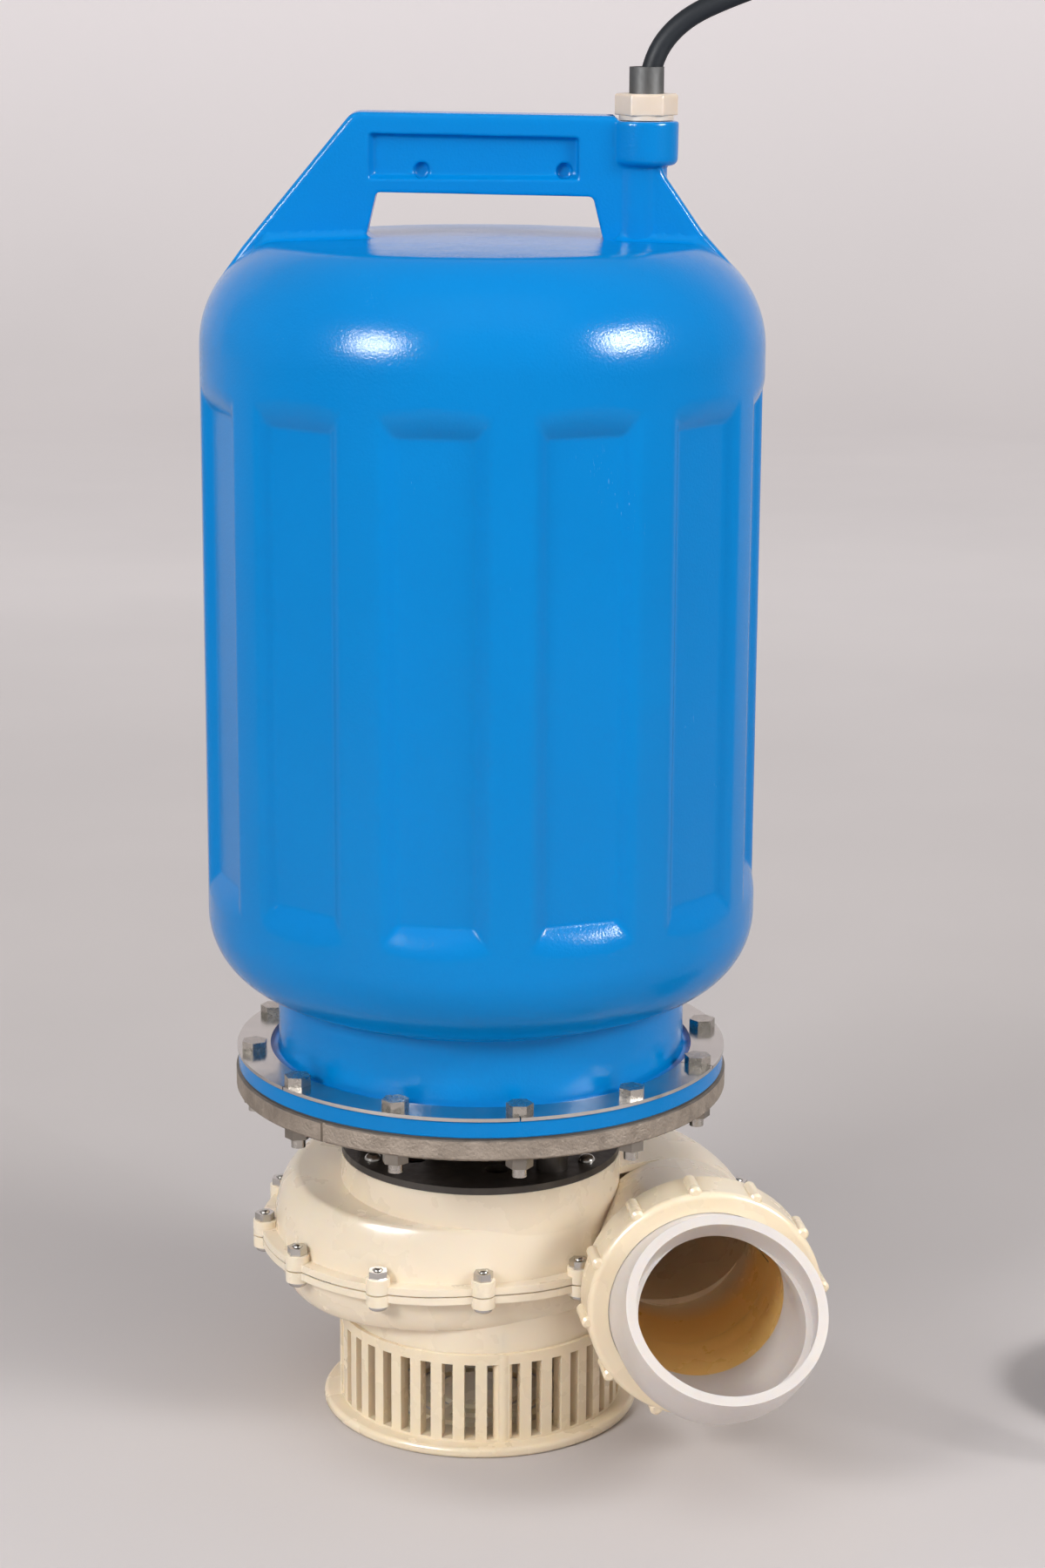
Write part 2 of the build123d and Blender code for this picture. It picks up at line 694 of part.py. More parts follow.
def seal_plate():
    """Iron plate on the casing's neck with the seal hub and the legs of the lantern."""
    body = cyl(PLATE_R, NECK_TOP, PLATE_TOP)
    body += cyl(HUB_R, PLATE_TOP, FLANGE_BOTTOM)
    body += cyl(SEAT_HUB_R, SEAT_BOTTOM, NECK_TOP)
    for x, y in lantern_legs():
        body += cyl(LEG_R, PLATE_TOP, FLANGE_BOTTOM, x, y)
    body -= cyl(SHAFT_R + SHAFT_ROOM, SEAT_BOTTOM - 1, FLANGE_BOTTOM + 1)
    body -= cyl(SEAT_R + THREAD_GAP, SEAT_BOTTOM - 1, SEAT_BOTTOM + SEAT_T)
    for k in range(PLATE_HOLES):
        x, y = around(PLATE_HOLE_PHASE + 360 / PLATE_HOLES * k, PLATE_HOLE_PCR)
        body -= cyl(PLATE_HOLE_R, NECK_TOP - 1, PLATE_TOP + 1, x, y)
    for k in range(PLATE_SCREWS):
        x, y = around(PLATE_SCREW_PHASE + 360 / PLATE_SCREWS * k, PLATE_SCREW_PCR)
        body -= cyl(PLATE_SCREW_R + SEAT_GAP, NECK_TOP - 1, PLATE_TOP + 1, x, y)
    for x, y in lantern_legs():
        body -= cyl(LEG_SCREW_R + THREAD_GAP, FLANGE_BOTTOM - LEG_SCREW_L, FLANGE_BOTTOM + 1, x, y)
    return body


def plate_screws():
    """Pan head screws of the seal plate."""
    screws = []
    for k in range(PLATE_SCREWS):
        x, y = around(PLATE_SCREW_PHASE + 360 / PLATE_SCREWS * k, PLATE_SCREW_PCR)
        head = round_end(2 * PLATE_SCREW_R, PLATE_TOP, PLATE_TOP + 1.5 * PLATE_SCREW_R, x, y)
        screws.append(head + cyl(PLATE_SCREW_R, PLATE_TOP - PLATE_SCREW_L, PLATE_TOP, x, y))
    return screws


def bolt_points():
    """Places of the housing bolts."""
    return [around(BOLT_PHASE + 360 / BOLT_COUNT * k, BOLT_PCR) for k in range(BOLT_COUNT)]


def motor_flange():
    """Cast flange with the lower bearing seat, a vent notch and all its holes."""
    body = cyl(FLANGE_R, FLANGE_BOTTOM, FLANGE_TOP)
    body = fillet(body.edges().group_by(Axis.Z)[0], 1.5)
    body += cyl(BEARING_OUT_R + SEAT_WALL, FLANGE_TOP, LOWER_BEARING_Z + BEARING_T)
    body -= cyl(SHAFT_R + SHAFT_ROOM, FLANGE_BOTTOM - 1, LOWER_BEARING_Z + 1)
    body -= cyl(BEARING_OUT_R + FIT_GAP, LOWER_BEARING_Z, LOWER_BEARING_Z + BEARING_T + 1)
    for x, y in bolt_points():
        body -= cyl(BOLT_HOLE_R, FLANGE_BOTTOM - 1, FLANGE_TOP + 1, x, y)
    for x, y in lantern_legs():
        body -= cyl(LEG_SCREW_R + SEAT_GAP, FLANGE_BOTTOM - 1, FLANGE_TOP + 1, x, y)
    for x, y in motor_screw_points():
        body -= cyl(MOTOR_SCREW_R + THREAD_GAP, FLANGE_TOP - MOTOR_SCREW_L, FLANGE_TOP + 1, x, y)
    x, y = around(NOTCH_ANGLE, FLANGE_R)
    return body - cyl(NOTCH_R, FLANGE_BOTTOM - 1, FLANGE_TOP + 1, x, y)


def bracket_screws():
    """Screws from the cast flange into the lantern legs."""
    screws = []
    for x, y in lantern_legs():
        head = hexagon(10, FLANGE_TOP, FLANGE_TOP + 4, x, y)
        screws.append(head + cyl(LEG_SCREW_R, FLANGE_BOTTOM - LEG_SCREW_L + 2, FLANGE_TOP, x, y))
    return screws


def flange_gasket():
    """Rubber ring between the cast flange and the housing."""
    body = tube(HOUSING_FLANGE_R - 1, HOUSING_NECK_R - HOUSING_WALL, FLANGE_TOP, HOUSING_BOTTOM)
    for x, y in bolt_points():
        body -= cyl(BOLT_HOLE_R, FLANGE_TOP - 1, HOUSING_BOTTOM + 1, x, y)
    return body


def clamp_ring():
    """Segments of the stainless clamp ring, each under two bolts."""
    ring = tube(RING_OUT, RING_IN, RING_BOTTOM, RING_TOP)
    for x, y in bolt_points():
        ring -= cyl(BOLT_HOLE_R, RING_BOTTOM - 1, RING_TOP + 1, x, y)
    gaps = []
    for k in range(RING_SEGMENTS):
        angle = RING_PHASE + 360 / RING_SEGMENTS * k
        x, y = around(angle, (RING_OUT + RING_IN) / 2)
        gaps.append(Pos(x, y, RING_TOP) * Rot(0, 0, angle) * Box(RING_GAP, 2 * (RING_OUT - RING_IN), 3 * RING_T))
    return ring - gaps


def flange_bolts():
    """Hexagon bolts through ring, housing, gasket and cast flange."""
    bolts = []
    for index, (x, y) in enumerate(bolt_points()):
        head = hexagon(BOLT_AF, RING_TOP, RING_TOP + BOLT_HEAD, x, y, 23 * index)
        bolts.append(head + cyl(BOLT_R, BOLT_TIP, RING_TOP, x, y))
    return bolts


def flange_nuts():
    """Nuts under the cast flange."""
    nuts = []
    for index, (x, y) in enumerate(bolt_points()):
        nut = hexagon(BOLT_AF, FLANGE_BOTTOM - BOLT_NUT, FLANGE_BOTTOM, x, y, 31 * index)
        nuts.append(nut - cyl(BOLT_R + THREAD_GAP, BOLT_TIP - 1, FLANGE_BOTTOM + 1, x, y))
    return nuts


# Motor housing

def housing_outside():
    """Outer form of the housing: flange, neck, round-shouldered barrel."""
    arc_r = HOUSING_R - LOWER_ARC
    meet = LOWER_ARC_Z - sqrt(LOWER_ARC ** 2 - (HOUSING_NECK_R - arc_r) ** 2)
    low_mid = around_point(arc_r, LOWER_ARC_Z, LOWER_ARC, -40)
    top_r = HOUSING_R - SHOULDER_ARC
    shoulder_z = HOUSING_TOP - SHOULDER_ARC
    high_mid = around_point(top_r, shoulder_z, SHOULDER_ARC, 45)
    edges = [
        Line((0, HOUSING_BOTTOM), (HOUSING_FLANGE_R, HOUSING_BOTTOM)),
        Line((HOUSING_FLANGE_R, HOUSING_BOTTOM), (HOUSING_FLANGE_R, RING_BOTTOM)),
        Line((HOUSING_FLANGE_R, RING_BOTTOM), (HOUSING_NECK_R, RING_BOTTOM)),
        Line((HOUSING_NECK_R, RING_BOTTOM), (HOUSING_NECK_R, meet)),
        ThreePointArc((HOUSING_NECK_R, meet), low_mid, (HOUSING_R, LOWER_ARC_Z)),
        Line((HOUSING_R, LOWER_ARC_Z), (HOUSING_R, shoulder_z)),
        ThreePointArc((HOUSING_R, shoulder_z), high_mid, (top_r, HOUSING_TOP)),
        Line((top_r, HOUSING_TOP), (0, HOUSING_TOP)),
        Line((0, HOUSING_TOP), (0, HOUSING_BOTTOM)),
    ]
    return spin(edges)


def around_point(x, z, radius, angle):
    """Point of a circle in the profile plane."""
    return x + radius * cos(radians(angle)), z + radius * sin(radians(angle))


def housing_cavity():
    """Air space of the housing, one wall inside the barrel, the neck and the flutes."""
    inner = HOUSING_R - HOUSING_WALL
    fluted = inner - FLUTE_DEPTH
    arc_r = HOUSING_R - LOWER_ARC
    low = LOWER_ARC - HOUSING_WALL
    top_r = HOUSING_R - SHOULDER_ARC
    high = SHOULDER_ARC - HOUSING_WALL
    shoulder_z = HOUSING_TOP - SHOULDER_ARC
    neck = HOUSING_NECK_R - HOUSING_WALL
    meet = LOWER_ARC_Z - sqrt(low ** 2 - (neck - arc_r) ** 2)
    edges = [
        Line((0, HOUSING_BOTTOM - 1), (neck, HOUSING_BOTTOM - 1)),
        Line((neck, HOUSING_BOTTOM - 1), (neck, meet)),
        ThreePointArc((neck, meet), around_point(arc_r, LOWER_ARC_Z, low, -40), (inner, LOWER_ARC_Z)),
        Line((inner, LOWER_ARC_Z), (inner, FLUTE_BOTTOM - HOUSING_WALL)),
        Line((inner, FLUTE_BOTTOM - HOUSING_WALL), (fluted, FLUTE_BOTTOM)),
        Line((fluted, FLUTE_BOTTOM), (fluted, FLUTE_TOP)),
        Line((fluted, FLUTE_TOP), (inner, FLUTE_TOP + HOUSING_WALL)),
        Line((inner, FLUTE_TOP + HOUSING_WALL), (inner, shoulder_z)),
        ThreePointArc((inner, shoulder_z), around_point(top_r, shoulder_z, high, 45), (top_r, HOUSING_TOP - HOUSING_WALL)),
        Line((top_r, HOUSING_TOP - HOUSING_WALL), (0, HOUSING_TOP - HOUSING_WALL)),
        Line((0, HOUSING_TOP - HOUSING_WALL), (0, HOUSING_BOTTOM - 1)),
    ]
    return spin(edges)


def flute_cutters():
    """Shallow flat-floored flutes round the barrel."""
    flank = FLUTE_DEPTH * tan(radians(FLUTE_FLANK))
    height = FLUTE_TOP - FLUTE_BOTTOM - 2 * flank
    floor = HOUSING_R - FLUTE_DEPTH
    middle = (FLUTE_TOP + FLUTE_BOTTOM) / 2
    outline = Plane(origin=(0, -floor, middle), x_dir=(1, 0, 0), z_dir=(0, -1, 0)) * Rectangle(FLUTE_W, height)
    cutter = extrude(outline, 2 * FLUTE_DEPTH, taper=-FLUTE_FLANK)
    return [Rot(0, 0, FLUTE_PHASE + 360 / FLUTE_COUNT * k) * cutter for k in range(FLUTE_COUNT)]


def handle_solid():
    """Handle with slanted legs, a finger opening, a recess in each face and the gland's boss."""
    outline = Polyline(
        (HANDLE_FOOT_LEFT, HANDLE_FOOT_Z),
        (HANDLE_LEFT, HANDLE_TOP),
        (HANDLE_RIGHT, HANDLE_TOP - HANDLE_STEP),
        (HANDLE_KNEE_X, HANDLE_KNEE_Z),
        (HANDLE_FOOT_RIGHT, HANDLE_FOOT_Z),
        (HANDLE_FOOT_RIGHT - 30, HANDLE_FOOT_Z - 30),
        (HANDLE_FOOT_LEFT + 30, HANDLE_FOOT_Z - 30),
        close=True,
    )
    body = Pos(0, HANDLE_T / 2, 0) * extrude(Plane.XZ * make_face(outline), HANDLE_T)
    body = fillet(body.edges().filter_by(lambda e: e.center().Z > HANDLE_FOOT_Z), HANDLE_ROUND)
    grip = Polyline(
        (GRIP_LEFT, GRIP_BOTTOM),
        (GRIP_RIGHT, GRIP_BOTTOM),
        (GRIP_RIGHT + GRIP_SPLAY * GRIP_REACH, GRIP_BOTTOM - GRIP_DROP * GRIP_REACH),
        (GRIP_LEFT - GRIP_SPLAY * GRIP_REACH, GRIP_BOTTOM - GRIP_DROP * GRIP_REACH),
        close=True,
    )
    opening = Pos(0, HANDLE_T, 0) * extrude(Plane.XZ * make_face(grip), 2 * HANDLE_T)
    corners = opening.edges().filter_by(Axis.Y)
    opening = fillet(corners, HANDLE_ROUND)
    opening -= cyl(2 * HOUSING_R, HOUSING_TOP - 60, HOUSING_TOP)
    body -= opening
    width = RECESS_RIGHT - RECESS_LEFT
    tall = RECESS_TOP - RECESS_BOTTOM
    for side in (-1, 1):
        y = side * (HANDLE_T / 2 - RECESS_DEPTH / 2)
        block = Box(width, RECESS_DEPTH + 0.01, tall)
        block = fillet(block.edges().filter_by(Axis.Y), 2.0)
        body -= Pos((RECESS_LEFT + RECESS_RIGHT) / 2, y, (RECESS_TOP + RECESS_BOTTOM) / 2) * block
        for x in PIP_X:
            pip = Rot(90, 0, 0) * Cylinder(PIP_R, RECESS_DEPTH)
            ring = pip - Rot(90, 0, 0) * Cylinder(PIP_R * 0.55, RECESS_DEPTH + 1)
            body += Pos(x, side * (HANDLE_T / 2 - RECESS_DEPTH * 0.75), PIP_Z) * ring
    spot_top = max(HANDLE_TOP, GLAND_BOSS_TOP) + 1
    body -= cyl(GLAND_FLANGE_R + GLAND_ROOM, GLAND_BOSS_TOP, spot_top, GLAND_X)
    body += cyl(GLAND_COLUMN_R, HANDLE_FOOT_Z - 30, GLAND_BOSS_BOTTOM, GLAND_X)
    boss = cyl(GLAND_BOSS_R, GLAND_BOSS_BOTTOM, GLAND_BOSS_TOP, GLAND_X)
    return body + fillet(boss.edges(), 1.5)


def motor_housing():
    """Hollow housing with its flange, flutes, handle and gland boss in one moulding."""
    body = housing_outside() - flute_cutters()
    body += handle_solid()
    body -= housing_cavity()
    body -= cyl(GLAND_BORE_R, HOUSING_TOP - HOUSING_WALL - 40, GLAND_BOSS_TOP + 1, GLAND_X)
    for x, y in bolt_points():
        body -= cyl(BOLT_HOLE_R, HOUSING_BOTTOM - 1, RING_BOTTOM + 1, x, y)
    return body


# Cable gland

def gland_body():
    """Gland body screwed into the housing's boss, with its white collar."""
    body = cyl(GLAND_BORE_R - SEAT_GAP, GLAND_BOSS_TOP - GLAND_THREAD, GLAND_BOSS_TOP, GLAND_X)
    body += cyl(GLAND_FLANGE_R, GLAND_BOSS_TOP, GLAND_BOSS_TOP + GLAND_FLANGE_T, GLAND_X)
    body += cyl(GLAND_STUB_R, GLAND_BOSS_TOP, GLAND_BOSS_TOP + GLAND_FLANGE_T + GLAND_STUB, GLAND_X)
    body -= cyl(CABLE_R + SEAT_GAP, 0, GLAND_BOSS_TOP + 1, GLAND_X)
    return body - cyl(BUSH_R + SEAT_GAP, GLAND_BOSS_TOP, GLAND_BOSS_TOP + 50, GLAND_X)


def gland_nut():
    """Hexagon nut that squeezes the rubber bush."""
    bottom = GLAND_BOSS_TOP + GLAND_FLANGE_T
    body = hexagon(GLAND_NUT_AF, bottom, bottom + GLAND_NUT_T, GLAND_X)
    body = chamfer(body.edges().group_by(Axis.Z)[-1], 0.8)
    body -= cyl(GLAND_STUB_R + SEAT_GAP, bottom - 1, bottom + GLAND_STUB + 0.5, GLAND_X)
    return body - cyl(BUSH_R + SEAT_GAP, bottom - 1, bottom + GLAND_NUT_T + 1, GLAND_X)


def cable_bush():
    """Rubber bush with an open mouth round the cable."""
    body = cyl(BUSH_R, GLAND_BOSS_TOP, BUSH_TOP, GLAND_X)
    body -= cyl(CABLE_R + SEAT_GAP, GLAND_BOSS_TOP - 1, BUSH_TOP + 1, GLAND_X)
    return body - cyl(BUSH_MOUTH_R, BUSH_TOP - BUSH_MOUTH, BUSH_TOP + 1, GLAND_X)


# Motor

def motor_screw_points():
    """Places of the screws of the motor frame's foot."""
    return [around(MOTOR_SCREW_PHASE + 360 / MOTOR_SCREWS * k, MOTOR_SCREW_PCR) for k in range(MOTOR_SCREWS)]


def ear_points():
    """Places of the ears that hold the upper end shield."""
    return [around(360 / EARS * k, EAR_PCR) for k in range(EARS)]


def motor_frame():
    """Steel frame of the motor with a bolted foot and ears at its top."""
    body = cyl(MOTOR_FRAME_R, FLANGE_TOP, MOTOR_FRAME_TOP)
    body += cyl(MOTOR_FOOT_R, FLANGE_TOP, FLANGE_TOP + MOTOR_FOOT_T)
    for x, y in ear_points():
        body += cyl(EAR_R, MOTOR_FRAME_TOP - EAR_H, MOTOR_FRAME_TOP, x, y)
    body -= cyl(MOTOR_FRAME_R - MOTOR_FRAME_WALL, FLANGE_TOP - 1, MOTOR_FRAME_TOP + 1)
    for x, y in motor_screw_points():
        body -= cyl(MOTOR_SCREW_R + SEAT_GAP, FLANGE_TOP - 1, FLANGE_TOP + MOTOR_FOOT_T + 1, x, y)
    for x, y in ear_points():
        body -= cyl(EAR_SCREW_R + THREAD_GAP, MOTOR_FRAME_TOP - EAR_H - 1, MOTOR_FRAME_TOP + 1, x, y)
    return body


def motor_screws():
    """Screws of the motor frame's foot."""
    screws = []
    for x, y in motor_screw_points():
        top = FLANGE_TOP + MOTOR_FOOT_T
        head = cyl(1.8 * MOTOR_SCREW_R, top, top + 1.6 * MOTOR_SCREW_R, x, y)
        screws.append(head + cyl(MOTOR_SCREW_R, FLANGE_TOP - MOTOR_SCREW_L + 1, top, x, y))
    return screws


def end_shield():
    """Upper end shield with the upper bearing's seat."""
    top = MOTOR_FRAME_TOP + SHIELD_T
    body = cyl(MOTOR_FRAME_R, MOTOR_FRAME_TOP, top)
    for x, y in ear_points():
        body += cyl(EAR_R, MOTOR_FRAME_TOP, top, x, y)
    body += cyl(BEARING_OUT_R + SEAT_WALL, UPPER_BEARING_Z, MOTOR_FRAME_TOP)
    body -= cyl(BEARING_OUT_R + FIT_GAP, UPPER_BEARING_Z - 1, UPPER_BEARING_Z + BEARING_T)
    body -= cyl(SHAFT_R + SHAFT_ROOM, UPPER_BEARING_Z, SHAFT_TOP + 1)
    for x, y in ear_points():
        body -= cyl(EAR_SCREW_R + SEAT_GAP, MOTOR_FRAME_TOP - 1, top + 1, x, y)
    return body


def shield_screws():
    """Screws of the upper end shield."""
    screws = []
    top = MOTOR_FRAME_TOP + SHIELD_T
    for x, y in ear_points():
        head = cyl(1.8 * EAR_SCREW_R, top, top + 3.5, x, y)
        screws.append(head + cyl(EAR_SCREW_R, MOTOR_FRAME_TOP - EAR_H + 1, top, x, y))
    return screws


def stator_core():
    """Laminated stator core with closed winding slots."""
    outer = MOTOR_FRAME_R - MOTOR_FRAME_WALL - FIT_GAP
    body = tube(outer, STATOR_BORE_R, STATOR_BOTTOM, STATOR_BOTTOM + STATOR_LENGTH)
    slots = [slot_bar(k, 0, 1) for k in range(STATOR_SLOTS)]
    return body - slots


def slot_bar(k, shrink, extra):
    """Bar that fills one stator slot, made smaller all round by shrink and longer by extra."""
    depth = SLOT_OUT - SLOT_IN - 2 * shrink
    block = Box(depth, STATOR_SLOT_W - 2 * shrink, STATOR_LENGTH + 2 * extra)
    middle = STATOR_BOTTOM + STATOR_LENGTH / 2
    return Rot(0, 0, 360 / STATOR_SLOTS * k) * Pos((SLOT_OUT + SLOT_IN) / 2, 0, middle) * block


def stator_windings():
    """Copper winding: bars through the slots and a rounded ring at each end."""
    top = STATOR_BOTTOM + STATOR_LENGTH
    body = None
    for bottom in (STATOR_BOTTOM - WINDING_H, top):
        ring = tube(SLOT_OUT + 4, SLOT_IN + 2, bottom, bottom + WINDING_H)
        ring = fillet(ring.edges().group_by(Axis.Z)[0 if bottom < top else -1], 5.0)
        body = ring if body is None else body + ring
    return body + [slot_bar(k, SEAT_GAP, 1) for k in range(STATOR_SLOTS)]


def rotor_core():
    """Squirrel-cage rotor pressed on the shaft."""
    body = cyl(ROTOR_R, STATOR_BOTTOM, STATOR_BOTTOM + STATOR_LENGTH)
    body += cyl(ROTOR_R - 3, STATOR_BOTTOM - 9, STATOR_BOTTOM + STATOR_LENGTH + 9)
    return body - cyl(SHAFT_BODY_R + SEAT_GAP / 2, STATOR_BOTTOM - 10, STATOR_BOTTOM + STATOR_LENGTH + 10)


def shaft():
    """Stepped shaft from the impeller nut to the upper bearing."""
    body = cyl(SHAFT_TIP_R, SHAFT_BOTTOM, IMPELLER_TOP)
    body += cyl(SHAFT_R, IMPELLER_TOP, SHAFT_TOP)
    body += cyl(SHAFT_BODY_R, LOWER_BEARING_Z + BEARING_T, UPPER_BEARING_Z)
    body -= key_block(0)
    return chamfer(body.edges().group_by(Axis.Z)[-1], 1.0)


def key_block(gap):
    """Block of the impeller's key, grown by a gap."""
    height = IMPELLER_TOP - IMPELLER_BOTTOM - 6
    block = Box(KEY_W + 2 * gap, KEY_H + gap, height + 2 * gap)
    return Pos(0, -SHAFT_TIP_R, IMPELLER_BOTTOM + 4 + height / 2) * block


def bearing_outer(bottom):
    """Outer race of a ball bearing, with its ball groove."""
    middle = bottom + BEARING_T / 2
    body = tube(BEARING_OUT_R, BALL_PCR + BALL_R * 0.55, bottom, bottom + BEARING_T)
    return body - Pos(0, 0, middle) * Torus(BALL_PCR, BALL_R + FIT_GAP)


def bearing_inner(bottom):
    """Inner race of a ball bearing, with its ball groove."""
    middle = bottom + BEARING_T / 2
    body = tube(BALL_PCR - BALL_R * 0.55, SHAFT_R + FIT_GAP, bottom, bottom + BEARING_T)
    return body - Pos(0, 0, middle) * Torus(BALL_PCR, BALL_R + FIT_GAP)


def bearing_balls(bottom):
    """Balls of one bearing."""
    middle = bottom + BEARING_T / 2
    balls = []
    for k in range(BEARING_BALLS):
        x, y = around(360 / BEARING_BALLS * k, BALL_PCR)
        balls.append(Pos(x, y, middle) * Sphere(BALL_R))
    return balls


def seal_seat():
    """Fixed ring of the shaft seal, pressed into the seal plate's hub."""
    return tube(SEAT_R, SHAFT_R + SHAFT_ROOM, SEAT_BOTTOM, SEAT_BOTTOM + SEAT_T)


def seal_head():
    """Turning head of the shaft seal between the impeller and the seat."""
    body = tube(SEAT_R - 2, SHAFT_R + FIT_GAP, IMPELLER_TOP, SEAT_BOTTOM - SEAT_GAP)
    groove = tube(SEAT_R, SEAT_R - 4, IMPELLER_TOP + 8, IMPELLER_TOP + 18)
    return body - groove


def blade():
    """One curved impeller blade hanging from the shroud."""
    reach = IMPELLER_R - 1
    start = Vector(IMPELLER_HUB_R - 1, 0)
    end = Vector(reach * cos(radians(-BLADE_CURVE)), reach * sin(radians(-BLADE_CURVE)))
    middle = Vector(42 * cos(radians(-BLADE_CURVE * 0.28)), 42 * sin(radians(-BLADE_CURVE * 0.28)))
    spine = ThreePointArc(start, middle, end)
    outline = trace(spine, BLADE_T)
    return Pos(0, 0, IMPELLER_BOTTOM) * extrude(outline, IMPELLER_TOP - IMPELLER_SHROUD_T - IMPELLER_BOTTOM + 0.5)


def impeller():
    """Semi-open impeller with curved blades under its shroud."""
    body = cyl(IMPELLER_R, IMPELLER_TOP - IMPELLER_SHROUD_T, IMPELLER_TOP)
    body += cyl(IMPELLER_HUB_R, IMPELLER_BOTTOM, IMPELLER_TOP)
    one = blade()
    body += [Rot(0, 0, 360 / BLADE_COUNT * k) * one for k in range(BLADE_COUNT)]
    body -= cyl(SHAFT_TIP_R + FIT_GAP, IMPELLER_BOTTOM - 1, IMPELLER_TOP + 1)
    return body - key_block(SEAT_GAP)


def impeller_nut():
    """Nut under the impeller's hub."""
    bottom = SHAFT_BOTTOM + 1
    body = hexagon(24, bottom, IMPELLER_BOTTOM)
    return body - cyl(SHAFT_TIP_R + THREAD_GAP, bottom - 1, IMPELLER_BOTTOM + 1)


def capacitor():
    """Run capacitor standing on the upper end shield."""
    bottom = MOTOR_FRAME_TOP + SHIELD_T
    can = cyl(CAPACITOR_R, bottom, bottom + CAPACITOR_H, -CAPACITOR_X)
    return fillet(can.edges(), 2.5)


def capacitor_clip():
    """Ring clip that holds the capacitor on the end shield."""
    bottom = MOTOR_FRAME_TOP + SHIELD_T
    return tube(CAPACITOR_R + 2, CAPACITOR_R + SEAT_GAP, bottom, bottom + 22, -CAPACITOR_X)


def terminal_block():
    """Terminal block under the cable's inner end."""
    bottom = MOTOR_FRAME_TOP + SHIELD_T
    block = Pos(TERMINAL_X, 0, bottom + TERMINAL_H / 2) * Box(24, 44, TERMINAL_H)
    return fillet(block.edges().filter_by(Axis.Z), 2.0)


# Cable, coil and plug

def cord_tube(points, radius):
    """Tube along straight runs joined by tangent arcs, each as large as its runs allow."""
    runs = [(Vector(b) - Vector(a)).length for a, b in zip(points, points[1:])]
    radii = []
    for k in range(1, len(points) - 1):
        before = Vector(points[k]) - Vector(points[k - 1])
        after = Vector(points[k + 1]) - Vector(points[k])
        turn = radians(before.get_angle(after))
        radii.append(0.45 * min(runs[k - 1], runs[k]) / tan(turn / 2))
    path = FilletPolyline(*points, radius=radii)
    start = Plane(origin=path @ 0, z_dir=path % 0)
    solid = sweep(start * Circle(radius), path=path)
    section = pi * radius ** 2
    share = solid.volume / (section * path.length)
    print("cord radii", [round(r) for r in radii], "length", round(path.length), "volume share", round(share, 4))
    return solid


def inner_lead():
    """Cable from the gland down to the terminal block."""
    top = MOTOR_FRAME_TOP + SHIELD_T + TERMINAL_H
    points = [
        (GLAND_X, 0, CABLE_START),
        (GLAND_X, 0, CABLE_START - 143),
        (TERMINAL_X, 0, top + 74),
        (TERMINAL_X, 0, top),
    ]
    return cord_tube(points, CABLE_R)


def power_cable():
    """Cable from the gland over and down to the floor, up to its coil."""
    return cord_tube(CABLE_ROUTE, CABLE_R)


def cable_end():
    """Last stretch of the cable, from the coil to the plug."""
    return cord_tube(CABLE_END_ROUTE, CABLE_R)


def cable_coil():
    """Outer form of the coiled cable."""
    height = COIL_LAYERS * 2 * CABLE_R
    width = COIL_ROWS * 2 * CABLE_R
    body = tube(COIL_R + width / 2, COIL_R - width / 2, 0, height, COIL_X, COIL_Y)
    return fillet(body.edges(), CABLE_R)


def coil_tie():
    """Tie round one side of the coil."""
    width = COIL_ROWS * 2 * CABLE_R + 4 * TIE_GAP
    height = COIL_LAYERS * 2 * CABLE_R + TIE_GAP
    shell = Box(width + 2 * TIE_T, TIE_W, height + TIE_T, align=(Align.CENTER, Align.CENTER, Align.MIN))
    hollow = Box(width, TIE_W + 2, height, align=(Align.CENTER, Align.CENTER, Align.MIN))
    x, y = around(TIE_ANGLE, COIL_R)
    return Pos(COIL_X + x, COIL_Y + y, 0) * Rot(0, 0, TIE_ANGLE - 90) * (shell - hollow)


def plug_part(solid, along):
    """Places a solid made along +Z on the plug's axis."""
    x, y, z = CABLE_END_ROUTE[-1]
    return Plane(origin=(x, y + along, z), x_dir=(1, 0, 0), z_dir=(0, 1, 0)) * solid


def plug_body():
    """Rubber plug with a tapered neck."""
    neck = Cone(PLUG_NECK_R, PLUG_R - 3, PLUG_NECK, align=(Align.CENTER, Align.CENTER, Align.MIN))
    body = fillet(cyl(PLUG_R, PLUG_NECK, PLUG_NECK + PLUG_LENGTH).edges(), 3.0)
    return plug_part(neck + body, 0)


def plug_pins():
    """Three flat pins of the plug."""
    pins = []
    for x, y, turn in ((-7, -4, 30), (7, -4, -30), (0, 8, 0)):
        pin = Pos(x, y, PLUG_PIN_L / 2) * Rot(0, 0, turn) * Box(2, 6.4, PLUG_PIN_L)
        pins.append(plug_part(pin, PLUG_NECK + PLUG_LENGTH))
    return pins


def write(name, shape):
    """Writes one node: a single solid, or a group of separate solids."""
    shapes = shape if isinstance(shape, list) else [shape]
    solids = [solid for item in shapes for solid in item.solids()]
    part = solids[0] if len(solids) == 1 else Compound(children=solids)
    part.label = name
    export_step(part, f"parts/{name}.step")
    print(name, len(solids), all(solid.is_valid for solid in solids))


